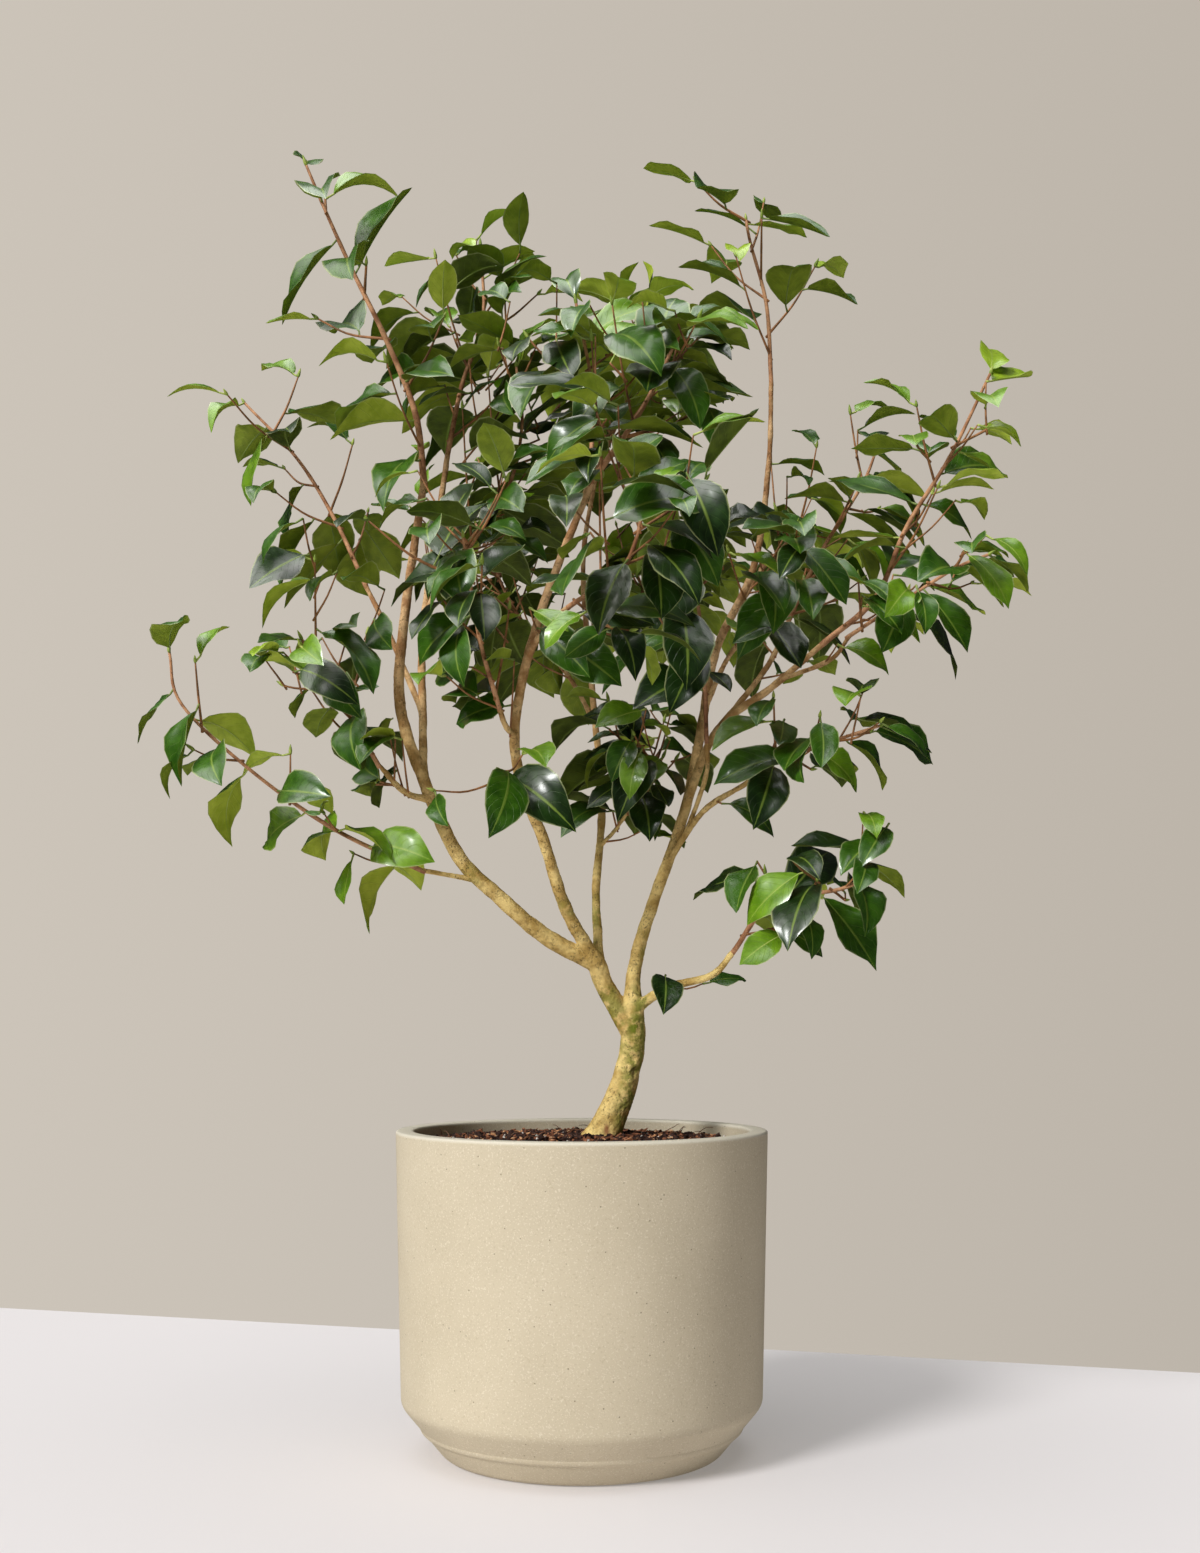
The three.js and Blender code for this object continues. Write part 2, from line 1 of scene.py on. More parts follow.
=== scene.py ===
# %% [markdown]
# # A camellia shrub in its pot
#
# A young camellia stands in a round pot with a speckled stone finish. Its plain solids come from a
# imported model, which is the fixed frame here: it says where every limb and every spray of leaves is.
# This lesson dresses that frame. Each solid is replaced by a finer mesh that keeps to its place, and
# every mesh is worked out with numpy, because a shrub is a few formulas used many hundred times.

# %% Load the frame
import math
import bpy
import numpy as np
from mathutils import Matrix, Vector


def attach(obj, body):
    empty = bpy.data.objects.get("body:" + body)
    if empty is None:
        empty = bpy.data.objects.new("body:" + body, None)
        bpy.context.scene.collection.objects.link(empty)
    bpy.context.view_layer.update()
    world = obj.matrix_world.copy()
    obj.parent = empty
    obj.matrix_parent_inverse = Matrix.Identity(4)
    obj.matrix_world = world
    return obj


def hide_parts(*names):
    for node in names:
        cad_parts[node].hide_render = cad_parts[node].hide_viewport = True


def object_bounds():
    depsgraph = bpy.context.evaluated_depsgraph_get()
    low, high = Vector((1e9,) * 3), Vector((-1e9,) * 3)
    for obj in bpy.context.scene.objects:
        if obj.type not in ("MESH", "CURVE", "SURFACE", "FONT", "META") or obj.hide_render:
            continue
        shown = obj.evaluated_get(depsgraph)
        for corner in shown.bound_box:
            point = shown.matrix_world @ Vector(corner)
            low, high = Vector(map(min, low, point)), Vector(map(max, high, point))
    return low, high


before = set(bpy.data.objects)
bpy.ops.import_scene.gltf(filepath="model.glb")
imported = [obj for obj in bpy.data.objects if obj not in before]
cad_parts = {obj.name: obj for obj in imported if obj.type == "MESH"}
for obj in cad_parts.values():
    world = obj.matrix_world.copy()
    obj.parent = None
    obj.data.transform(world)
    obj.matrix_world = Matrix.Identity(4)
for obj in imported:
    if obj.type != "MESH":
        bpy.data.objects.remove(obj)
cad_box = [list(corner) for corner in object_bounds()]
print("nodes in the frame:", len(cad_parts))
print("box of the solids, m:", cad_box)

# %% [markdown]
# ## From arrays to meshes
#
# A surface is held as its points, in millimetres, and its faces, as arrays of point numbers. Nearly
# everything on this plant is a stack of rings with a pole at each end: the pot, a bough, a bud. One
# helper closes such a stack, one joins many surfaces into one, and one hands the result to Blender in
# metres. Keeping a piece's place in its mesh, with its object at the origin, lets a pattern on object
# coordinates stay where it is.

# %% Surfaces as arrays
MM = 0.001
BODY = "root"
TURN = 2 * math.pi


def close_stack(rings, first_pole, last_pole):
    """Rings of points, one after the other along a path, joined by quads and closed by two fans.
    Each ring turns anticlockwise about the path's direction, so that the faces point outwards."""
    rows, columns = rings.shape[:2]
    row, column = np.divmod(np.arange((rows - 1) * columns), columns)
    after = (column + 1) % columns
    quads = np.stack([row * columns + column, row * columns + after,
                      (row + 1) * columns + after, (row + 1) * columns + column], 1)
    one = np.arange(columns)
    two = (one + 1) % columns
    pole = np.full(columns, rows * columns)
    start_fan = np.stack([pole, two, one], 1)
    end_fan = np.stack([pole + 1, (rows - 1) * columns + one, (rows - 1) * columns + two], 1)
    points = np.vstack([rings.reshape(-1, 3), [first_pole, last_pole]])
    return points, [quads, start_fan, end_fan]


def join_surfaces(surfaces):
    """Many surfaces as one: the points are stacked, and each surface's faces are moved up to match."""
    points, faces, start = [], [], 0
    for own_points, own_faces in surfaces:
        points.append(own_points)
        faces += [block + start for block in own_faces]
        start += len(own_points)
    return np.vstack(points), faces


# %% Arrays to pieces
def make_piece(name, surface, finishes, nodes=(), smooth=True, finish_of_face=None, uv=None):
    """A surface as a Blender object that rides on the plant's one body and stands for some solids."""
    points, faces = surface
    mesh = bpy.data.meshes.new(name)
    mesh.from_pydata((points * MM).tolist(), [], [face for block in faces for face in block.tolist()])
    for finish in finishes:
        mesh.materials.append(finish)
    mesh.polygons.foreach_set("use_smooth", np.full(len(mesh.polygons), smooth))
    if finish_of_face is not None:
        mesh.polygons.foreach_set("material_index", finish_of_face.astype(np.int32))
    if uv is not None:
        corners = np.zeros(len(mesh.loops), np.int32)
        mesh.loops.foreach_get("vertex_index", corners)
        mesh.uv_layers.new(name="UVMap").data.foreach_set("uv", uv[corners].ravel().astype(np.float32))
    mesh.update()
    piece = bpy.data.objects.new(name, mesh)
    bpy.context.scene.collection.objects.link(piece)
    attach(piece, BODY)
    if nodes:
        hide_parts(*nodes)
    print(name, "has", len(mesh.polygons), "faces")
    return piece


# %% [markdown]
# ## Chance that repeats
#
# A shrub needs accidents, but the same ones each time. A draw is the fraction left over from a very
# large sine of its seed and number. It needs no library and no order of calls, so that a leaf keeps its
# draw whatever is grown before it. Bark and soil need a field that varies smoothly over space instead,
# and a sum of a few slanted waves gives that for whole arrays of points.

# %% Draws and waves
def draw(seed, number):
    """A fixed number from 0 to 1 for each seed and number: the fraction of a large sine."""
    wave = np.sin(np.asarray(seed) * 12.9898 + np.asarray(number) * 78.233) * 43758.5453
    return wave - np.floor(wave)


def ripple(points, size, seed, waves=7):
    """A smooth field from about -1 to 1: the sum of sines of each point's distance along slanted
    directions, with a wavelength of about size."""
    numbers = np.arange(waves)
    ways = np.stack([draw(seed + k, numbers) - 0.5 for k in range(3)], 1)
    ways /= np.linalg.norm(ways, axis=1)[:, None]
    ways *= (TURN / size * (0.7 + 0.7 * draw(seed + 3, numbers)))[:, None]
    return np.sin(points @ ways.T + TURN * draw(seed + 4, numbers)).sum(-1) / math.sqrt(waves * 2)


print("three draws:", draw(7, np.arange(3)))

# %% [markdown]
# ## A way to write finishes
#
# A finish is a formula over the surface, and node trees hide formulas. One small class wraps a number
# that varies over a surface, so that Python's own signs add the Math nodes. Another holds a node tree and
# adds every other node, and a Finish is such a tree with its Principled shader. Numbers that are the same
# everywhere are set on the shader itself.

# %% Numbers that vary over a surface
class Varying:
    """A socket that the signs of arithmetic work on; each sign adds a Math node."""

    def __init__(self, nodes, socket):
        self.nodes = nodes
        self.socket = socket

    def math(self, operation, first, second=None):
        inputs = {0: first} if second is None else {0: first, 1: second}
        return self.nodes.node("ShaderNodeMath", {"operation": operation}, inputs)

    def __add__(self, other):
        return self.math("ADD", self, other)

    def __sub__(self, other):
        return self.math("SUBTRACT", self, other)

    def __rsub__(self, other):
        return self.math("SUBTRACT", other, self)

    def __mul__(self, other):
        return self.math("MULTIPLY", self, other)

    __radd__ = __add__
    __rmul__ = __mul__

    def size(self):
        return self.math("ABSOLUTE", self)

    def sine(self):
        return self.math("SINE", self)

    def between(self, low, high):
        """0 below low, 1 above high, and a smooth step from one to the other."""
        settings, inputs = {"interpolation_type": "SMOOTHSTEP"}, {0: self, 1: low, 2: high}
        return self.nodes.node("ShaderNodeMapRange", settings, inputs)


# %% A finish and its nodes
def paint(red, green, blue):
    """A colour as a screen shows it, from 0 to 255, turned into the linear light that shaders use."""
    screen = np.array([red, green, blue]) / 255
    linear = np.where(screen <= 0.04045, screen / 12.92, ((screen + 0.055) / 1.055) ** 2.4)
    return (*linear.tolist(), 1.0)


class Nodes:
    """A node tree, one way to add a node to it, and short names for the kinds that are used most."""

    def __init__(self, tree):
        self.tree = tree

    def feed(self, socket, value):
        if isinstance(value, Varying):
            self.tree.links.new(value.socket, socket)
        else:
            socket.default_value = value

    def node(self, kind, settings=None, inputs=None, output=0):
        """Adds one node: its settings first, then the values or links of its sockets."""
        made = self.tree.nodes.new(kind)
        for key, value in (settings or {}).items():
            setattr(made, key, value)
        for key, value in (inputs or {}).items():
            self.feed(made.inputs[key], value)
        return Varying(self, made.outputs[output])

    def place(self):
        return self.node("ShaderNodeTexCoord", output="Object")

    def part(self, vector, axis):
        return self.node("ShaderNodeSeparateXYZ", inputs={0: vector}, output=axis)

    def noise(self, vector, scale, detail=2.0, roughness=0.5):
        inputs = {"Vector": vector, "Scale": scale, "Detail": detail, "Roughness": roughness}
        return self.node("ShaderNodeTexNoise", inputs=inputs, output="Fac")

    def cells(self, vector, scale):
        inputs = {"Vector": vector, "Scale": scale}
        return self.node("ShaderNodeTexVoronoi", inputs=inputs, output="Distance")

    def mix(self, share, first, second):
        inputs = {0: share, 6: first, 7: second}
        return self.node("ShaderNodeMix", {"data_type": "RGBA"}, inputs, output=2)


class Finish(Nodes):
    """A material in the making: its node tree and its Principled shader."""

    def __init__(self, name, colour, roughness, **constants):
        self.material = bpy.data.materials.new(name)
        self.material.use_nodes = True
        super().__init__(self.material.node_tree)
        self.shader = self.tree.nodes["Principled BSDF"]
        self.set(Base_Color=colour, Roughness=roughness, **constants)

    def set(self, **values):
        for key, value in values.items():
            self.feed(self.shader.inputs[key.replace("_", " ")], value)

    def relief(self, height, depth):
        """A bump of up to depth metres where height goes from 0 to 1."""
        inputs = {"Height": height, "Distance": depth, "Strength": 1.0}
        self.set(Normal=self.node("ShaderNodeBump", inputs=inputs))


print("a beige on the screen is", paint(214, 202, 176), "in linear light")

# %% [markdown]
# ## Camera, floor and light
#
# The shrub is seen from a little above its pot's rim, level, with the lens shifted up so that uprights
# stay upright. The floor is one pale sheet whose back edge runs down to the right, before a greige wall
# that is only the world's colour. The light is a studio's: a soft lamp at the front left gives the pot
# its shaded side, a wide one overhead lights the tops of the leaves, and a little glow comes from all
# round. Both are far lamps, so the floor is lit evenly, and the floor glows a little itself, which keeps
# the shadow on it light. Glossy leaves see one bright patch of the world, high on the left, and not the
# floor, so that they shine in places and stay deep green in between.

# %% Camera
PICTURE_HEIGHT_PX = 1553
SENSOR = 36.0
EYE = (18.0, -1757.0, 438.0)
HORIZON_BELOW_MIDDLE_PX = 235.5

camera = bpy.data.objects.new("camera", bpy.data.cameras.new("camera"))
camera.data.sensor_width = SENSOR
camera.data.lens = SENSOR * -EYE[1] / PICTURE_HEIGHT_PX
camera.data.shift_y = HORIZON_BELOW_MIDDLE_PX / PICTURE_HEIGHT_PX
camera.location = [value * MM for value in EYE]
camera.rotation_euler = (math.pi / 2, 0, 0)
bpy.context.scene.collection.objects.link(camera)
bpy.context.scene.camera = camera
bpy.context.scene.view_settings.view_transform = "Standard"
print("lens", round(camera.data.lens, 2), "mm, shift", round(camera.data.shift_y, 4))

# %% Floor
FLOOR_BACK = ((-861.0, 843.0), (750.0, 375.0))
FLOOR_SIDE = 3000.0
FLOOR_FILL, FILL_TONE = 0.19, (1.0, 0.98, 0.96, 1.0)
FLOOR_HEIGHT = -0.2


def make_floor():
    """One sheet whose back edge runs through two named points, carried on a long way to both sides."""
    left, right = [np.array([x, y, FLOOR_HEIGHT]) for x, y in FLOOR_BACK]
    along = (right - left) / np.linalg.norm(right - left)
    forward = np.array([along[1], -along[0], 0.0])
    ends = np.array([left - along * FLOOR_SIDE, right + along * FLOOR_SIDE])
    points = np.vstack([ends, ends[::-1] + forward * 2 * FLOOR_SIDE])
    mesh = bpy.data.meshes.new("floor")
    mesh.from_pydata((points * MM).tolist(), [], [(3, 2, 1, 0)])
    floor = bpy.data.objects.new("floor", mesh)
    bpy.context.scene.collection.objects.link(floor)
    finish = Finish("floor_finish", paint(206, 201, 201), 0.85, Specular_IOR_Level=0.2,
                    Emission_Color=FILL_TONE, Emission_Strength=FLOOR_FILL)
    mesh.materials.append(finish.material)
    floor.visible_glossy = False
    return floor


floor = make_floor()
print("the floor faces up:", floor.data.polygons[0].normal.z > 0)

# %% Wall and light
WALL_LEFT, WALL_RIGHT = paint(204, 196, 185), paint(189, 181, 170)
WALL_SPAN = 0.32
GLOW, GLOW_TONE = 0.055, (1.0, 0.985, 0.96, 1.0)
SHEEN, SHEEN_TONE = 3.1, (1.0, 0.98, 0.90, 1.0)
SHEEN_FROM, SHEEN_EDGE, SHEEN_LEAST = (-0.45, -0.2, 0.87), (0.72, 0.98), 0.025


def light_world():
    """The camera sees the wall, glossy rays see the bright patch, and all other rays an even glow. The
    patch is brightest where a ray's direction times the patch's own direction is largest."""
    world = bpy.data.worlds.new("studio")
    world.use_nodes = True
    studio = Nodes(world.node_tree)
    studio.tree.nodes.clear()
    way = studio.node("ShaderNodeTexCoord", output="Generated")
    inputs = {0: studio.part(way, "X"), 1: -WALL_SPAN, 2: WALL_SPAN}
    wall_tone = studio.mix(studio.node("ShaderNodeMapRange", inputs=inputs), WALL_LEFT, WALL_RIGHT)
    inputs = {0: way, 1: SHEEN_FROM}
    facing = studio.node("ShaderNodeVectorMath", {"operation": "DOT_PRODUCT"}, inputs, output="Value")
    inputs = {0: facing, 1: SHEEN_EDGE[0], 2: SHEEN_EDGE[1], 3: SHEEN_LEAST, 4: SHEEN}
    patch = studio.node("ShaderNodeMapRange", inputs=inputs)
    wall, sheen, glow = [studio.node("ShaderNodeBackground", inputs={0: tone, 1: strength})
                         for tone, strength in ((wall_tone, 1.0), (SHEEN_TONE, patch), (GLOW_TONE, GLOW))]
    glossy, seen = [studio.node("ShaderNodeLightPath", output=output)
                    for output in ("Is Glossy Ray", "Is Camera Ray")]
    lit = studio.node("ShaderNodeMixShader", inputs={0: glossy, 1: glow, 2: sheen})
    both = studio.node("ShaderNodeMixShader", inputs={0: seen, 1: lit, 2: wall})
    studio.feed(studio.tree.nodes.new("ShaderNodeOutputWorld").inputs[0], both)
    bpy.context.scene.world = world


def add_lamp(name, azimuth, elevation, strength, spread):
    """A far soft lamp. Azimuth is degrees to the right of straight in front, elevation degrees up, and
    spread the angle that its disc fills. A strength of 1 lights a white surface that faces it fully."""
    lamp = bpy.data.objects.new(name, bpy.data.lights.new(name, "SUN"))
    lamp.data.energy = strength * math.pi
    lamp.data.angle = math.radians(spread)
    lamp.rotation_euler = (math.radians(90 - elevation), 0, math.radians(azimuth))
    bpy.context.scene.collection.objects.link(lamp)


light_world()
add_lamp("key_lamp", azimuth=-42, elevation=33, strength=0.84, spread=16)
add_lamp("top_lamp", azimuth=-30, elevation=82, strength=0.52, spread=60)
print("world glow", GLOW)

# %% [markdown]
# ## The pot
#
# The pot is cast composite: straight sided, a little narrower below, with a sloping foot and soft edges.
# It is one closed profile turned about the upright axis: underside, foot, wall, rim, inner wall and
# inner floor. Each corner of the profile is replaced by a short curve that starts and ends along its two
# lines, which is what makes a cast edge catch the light.

# %% Pot profile and its turning
POT = {"height": 321, "rim": 185, "waist": 180, "foot": 138, "chamfer": 52, "wall": 18, "floor": 22,
       "inner_taper": 5}
POT_CUTS = (7, 6, 3.2, 3.2, 10)
POT_COLUMNS = 160


def round_corners(corners, cuts, steps=6):
    """A line with its corners rounded: each inner corner becomes a quadratic curve between the points
    that lie one cut before it and one cut after it."""
    corners = np.asarray(corners, float)
    share = np.linspace(0, 1, steps)[:, None]
    line = [corners[:1]]
    for before, corner, after, cut in zip(corners, corners[1:], corners[2:], cuts):
        start = corner + (before - corner) * cut / np.linalg.norm(before - corner)
        end = corner + (after - corner) * cut / np.linalg.norm(after - corner)
        line.append((1 - share) ** 2 * start + 2 * share * (1 - share) * corner + share ** 2 * end)
    line.append(corners[-1:])
    return np.vstack(line)


def turn_profile(profile, columns):
    """A profile of radius and height, which starts and ends on the axis, turned about that axis."""
    angle = TURN * np.arange(columns) / columns
    radius, height = profile[1:-1, :1], profile[1:-1, 1:]
    rings = np.stack([radius * np.cos(angle), radius * np.sin(angle), height + 0 * angle], -1)
    first, last = [np.array([0.0, 0.0, z]) for z in (profile[0, 1], profile[-1, 1])]
    return close_stack(rings, first, last)


def pot_profile():
    """Out along the underside, up the foot and wall, over the rim, down inside and back to the axis."""
    inner = POT["rim"] - POT["wall"]
    corners = [(0, 0), (POT["foot"], 0), (POT["waist"], POT["chamfer"]), (POT["rim"], POT["height"]),
               (inner, POT["height"]), (inner - POT["inner_taper"], POT["floor"]), (0, POT["floor"])]
    return round_corners(corners, POT_CUTS)


pot_surface = turn_profile(pot_profile(), POT_COLUMNS)
print("pot points:", len(pot_surface[0]))

# %% [markdown]
# The stone finish is a pale beige full of fine grains, some lighter and some darker, with a few small
# pits. Grains are noise at about a millimetre, cut off high so that only peaks show. Pits are the
# middles of large cells, which also go into the bump, and their dark colour is painted shade in the
# small holes. The rim is painted a shade paler, as painted light from above.

# %% Stone finish
def make_stone():
    stone = Finish("speckled_stone", paint(206, 193, 167), 0.72, Specular_IOR_Level=0.35)
    place = stone.place()
    light_grains = stone.noise(place, 620.0, 1.0).between(0.58, 0.68)
    dark_grains = stone.noise(place, 430.0, 1.0).between(0.60, 0.72)
    broad = stone.noise(place, 9.0, 3.0).between(0.3, 0.7)
    # Painted shade: the pits are painted dark, for the shade inside the small holes.
    pits = 1 - stone.cells(place, 95.0).between(0.045, 0.075)
    # Painted light: the top of the rim is painted paler, where light from above falls on it.
    rim = stone.part(place, "Z").between(0.3165, 0.3205)
    colour = stone.mix(broad, paint(203, 190, 163), paint(210, 197, 170))
    colour = stone.mix(light_grains * 0.6, colour, paint(230, 220, 199))
    colour = stone.mix(dark_grains * 0.35, colour, paint(181, 165, 133))
    colour = stone.mix(rim * 0.7, colour, paint(232, 226, 210))
    colour = stone.mix(pits * 0.75, colour, paint(120, 104, 78))
    stone.set(Base_Color=colour, Roughness=0.66 + dark_grains * 0.1 + broad * 0.06)
    stone.relief(light_grains * 0.25 - pits + stone.noise(place, 900.0, 2.0) * 0.3, 0.0004)
    return stone.material


make_piece("pot_shell", pot_surface, [make_stone()], ["pot"])

# %% [markdown]
# ## The soil
#
# The pot is filled with dark potting bark, banked a little towards the trunk. The bed is a turned
# profile, closed below, and ripples lift its upper rings. The loose bark on it is what catches the eye:
# thousands of chips, each a small box with uneven corners, thrown down at all angles. Most are near
# black, some are brown, and a few are pale splinters and white grit.

# %% Soil bed
BED = [(0, 284), (164.5, 284), (166.2, 292), (166.2, 303.5), (150, 305.5), (125, 307), (100, 308),
       (75, 309.5), (50, 311.5), (25, 312), (0, 312)]
BED_LUMP = 1.3
BED_FLAT_FROM, BED_TOP_FROM = 160, 304
BED_RINGS, BED_COLUMNS = 54, 128


def bed_height(x, y):
    """Height of the soil at a place: its turned profile, and ripples as far as its flat edge."""
    radius = np.hypot(x, y)
    points = np.stack([x, y, 0 * x], -1)
    lump = ripple(points, 24.0, 3) + 0.5 * ripple(points, 9.0, 8)
    profile = np.array(BED[3:])[::-1]
    return np.interp(radius, profile[:, 0], profile[:, 1]) + BED_LUMP * lump * (radius < BED_FLAT_FROM)


def soil_surface():
    steps = np.linspace(BED_FLAT_FROM, 2, BED_RINGS)
    top = np.stack([steps, np.interp(steps, *np.array(BED[3:])[::-1].T)], 1)
    profile = np.vstack([BED[:4], top, [BED[-1]]])
    points, faces = turn_profile(profile, BED_COLUMNS)
    upper = points[:, 2] > BED_TOP_FROM
    points[upper, 2] = bed_height(points[upper, 0], points[upper, 1])
    return points, faces


def make_soil_finish(name, dark, light, roughness=0.9):
    finish = Finish(name, dark, roughness, Specular_IOR_Level=0.25)
    place = finish.place()
    grain = finish.noise(place, 260.0, 4.0, 0.6)
    finish.set(Base_Color=finish.mix(grain.between(0.35, 0.7), dark, light),
               Roughness=roughness - grain * 0.15)
    finish.relief(grain, 0.0006)
    return finish.material


soil_finish = make_soil_finish("potting_soil", paint(48, 31, 25), paint(92, 62, 50))
make_piece("soil_bed", soil_surface(), [soil_finish], ["soil"])

# %% Bark chips
BOX_CORNERS = np.array([[x, y, z] for x in (-1, 1) for y in (-1, 1) for z in (-1, 1)], float)
BOX_FACES = np.array([[0, 1, 3, 2], [4, 6, 7, 5], [0, 4, 5, 1],
                      [2, 3, 7, 6], [0, 2, 6, 4], [1, 5, 7, 3]])
TRUNK_AT_SOIL, TRUNK_ROOM = (21.0, -0.5), 21
CHIP_REACH, CHIP_TOP = 163, 316
CHIP_ANGLES, CHIP_UNEVEN = (1.1, 1.4, TURN), 0.7


def turned(vectors, tilt, roll, yaw):
    """Vectors rolled about X, tilted about Y and turned about Z, one set of angles for each row."""
    x, y, z = vectors[..., 0], vectors[..., 1], vectors[..., 2]
    y, z = y * np.cos(roll) - z * np.sin(roll), y * np.sin(roll) + z * np.cos(roll)
    x, z = x * np.cos(tilt) + z * np.sin(tilt), z * np.cos(tilt) - x * np.sin(tilt)
    x, y = x * np.cos(yaw) - y * np.sin(yaw), x * np.sin(yaw) + y * np.cos(yaw)
    return np.stack([x, y, z], -1)


def chip_surface(count, seed, long, wide, thick, lift):
    """Boxes with uneven corners, scattered evenly over the bed and turned every way."""
    n = np.arange(count)
    radius = CHIP_REACH * np.sqrt(draw(seed, n))
    angle = TURN * draw(seed + 1, n)
    x, y = radius * np.cos(angle), radius * np.sin(angle)
    clear = np.hypot(x - TRUNK_AT_SOIL[0], y - TRUNK_AT_SOIL[1]) > TRUNK_ROOM
    half = np.stack([low + (high - low) * draw(seed + 2 + k, n)
                     for k, (low, high) in enumerate((long, wide, thick))], 1) / 2
    uneven = 1 + CHIP_UNEVEN * (draw(seed + 9, np.arange(count * 24)).reshape(count, 8, 3) - 0.5)
    corners = BOX_CORNERS * half[:, None] * uneven
    tilt, roll, yaw = [whole * (draw(seed + 5 + k, n) - 0.5)[:, None]
                       for k, whole in enumerate(CHIP_ANGLES)]
    points = turned(corners, tilt, roll, yaw)
    height = bed_height(x, y) + lift * draw(seed + 8, n) + half[:, 2]
    points += np.stack([x, y, np.minimum(height, CHIP_TOP)], 1)[:, None]
    points, kept = points[clear], int(clear.sum())
    faces = (BOX_FACES[None] + 8 * np.arange(kept)[:, None, None]).reshape(-1, 4)
    return points.reshape(-1, 3), [faces]


for name, count, seed, long, wide, thick, lift, dark, light in (
        ("chips_dark", 2400, 41, (3, 10), (1.6, 4.4), (1.0, 2.8), 3.0, (34, 22, 19), (76, 50, 42)),
        ("chips_brown", 1100, 61, (3, 10), (1.4, 3.6), (0.8, 2.4), 3.8, (110, 66, 46), (164, 108, 76)),
        ("chips_pale", 420, 81, (2.5, 9), (0.9, 2.2), (0.7, 1.6), 4.4, (196, 136, 92), (236, 190, 146)),
        ("grit_white", 110, 101, (1.4, 3), (1.2, 2.4), (1, 2), 4.4, (214, 206, 194), (242, 238, 230))):
    finish = make_soil_finish(name + "_finish", paint(*dark), paint(*light))
    make_piece(name, chip_surface(count, seed, long, wide, thick, lift), [finish], smooth=False)

# %% [markdown]
# ## How the limbs run
#
# Each limb is a smooth line through a few points in millimetres, tapering from its start to its end.
# All but the trunk start somewhere along another limb. The same routes made the solids, so they are
# written here again, and the finer twigs grow on from where these limbs end. A Catmull-Rom line is used
# because it passes through the points it is given, which a shrub's joints need. A row holds the limb it
# starts on, the share along that one, the radius at each end, and the points.

# %% Routes of the limbs
LIMB_ROWS = {
    "trunk": (None, 0, (16, 11), [(10, -1, 290), (38, 2, 354), (50, 2, 400), (51, 0, 430),
        (50, 0, 446)]),
    "left_fork": ("trunk", 0.82, (10, 9), [(24, -4, 462), (15, -10, 486)]),
    "left_bough": ("left_fork", 1, (8.5, 3.4), [(-35, -20, 512), (-80, -35, 550), (-120, -42, 590),
        (-152, -50, 660), (-176, -50, 735), (-172, -55, 815), (-152, -60, 950)]),
    "inner_left_bough": ("left_bough", 0.47, (4.4, 2.8), [(-158, -10, 725), (-162, 20, 815),
        (-155, 45, 895), (-140, 70, 1020)]),
    "middle_bough": ("left_fork", 1, (6.6, 3.2), [(-15, -35, 538), (-36, -65, 602), (-60, -85, 668),
        (-60, -95, 728), (-35, -110, 820), (10, -125, 930)]),
    "back_bough": ("left_fork", 0.9, (4.6, 2.2), [(14, 25, 560), (20, 60, 655), (10, 95, 775),
        (0, 130, 920), (15, 160, 1030)]),
    "right_bough": ("trunk", 1, (6.8, 2.3), [(54, 4, 490), (71, 6, 547), (102, 12, 636), (119, 20, 716),
        (136, 30, 805), (176, 45, 896), (192, 55, 1003), (195, 60, 1090)]),
    "low_right_bough": ("trunk", 0.96, (5, 2.8), [(85, -14, 462), (128, -24, 474), (148, -32, 496)]),
    "right_side_bough": ("right_bough", 0.26, (5, 2.9), [(130, -25, 710), (186, -45, 755),
        (235, -60, 795)]),
    "right_back_bough": ("right_side_bough", 0.5, (3.2, 2.6), [(186, 5, 785), (205, 25, 825)]),
    "right_middle_bough": ("right_bough", 0.22, (3.4, 2.4), [(120, -25, 636), (160, -55, 660),
        (176, -66, 676)]),
    "left_side_bough": ("inner_left_bough", 0.22, (3.2, 2.4), [(-195, 25, 820), (-222, 38, 875)]),
    "left_middle_bough": ("left_bough", 0.43, (3.4, 2.4), [(-170, -62, 650), (-195, -76, 676)]),
    "low_left_bough": ("left_bough", 0.26, (3, 2.2), [(-135, -52, 572), (-155, -60, 575)]),
    "front_left_bough": ("middle_bough", 0.5, (3, 2.3), [(-70, -115, 705), (-76, -130, 722)]),
    "center_left_bough": ("inner_left_bough", 0.5, (2.8, 2.2), [(-140, 30, 888), (-120, 14, 905)]),
    "crown_bough": ("middle_bough", 0.86, (2.8, 2.3), [(6, -108, 930), (10, -92, 965)]),
    "front_bough": ("middle_bough", 0.66, (3, 2.4), [(-30, -140, 795), (-8, -172, 805)]),
    "back_right_bough": ("back_bough", 0.66, (2.6, 2.2), [(20, 135, 850), (40, 165, 875)]),
    "back_left_bough": ("back_bough", 0.48, (2.8, 2.3), [(-10, 130, 790), (-32, 165, 825)]),
    "inner_right_bough": ("right_middle_bough", 0.25, (2.6, 2.2), [(122, -30, 670), (122, -42, 705)]),
    "front_right_bough": ("right_bough", 0.46, (2.8, 2.3), [(140, -20, 780), (152, -60, 795)]),
    "outer_back_bough": ("right_bough", 0.62, (2.6, 2.1), [(172, 75, 875), (190, 110, 910)]),
    "right_spray_bough": ("right_side_bough", 0.78, (2.4, 2), [(238, -75, 775), (255, -90, 795)]),
    "low_center_bough": ("back_bough", 0.24, (2.4, 2), [(34, 42, 625), (48, 30, 645)]),
    "low_front_bough": ("middle_bough", 0.33, (2.2, 1.9), [(-58, -88, 648), (-68, -98, 656)]),
}
LIMBS = {name: dict(zip(("on", "at", "thick", "route"), row)) for name, row in LIMB_ROWS.items()}
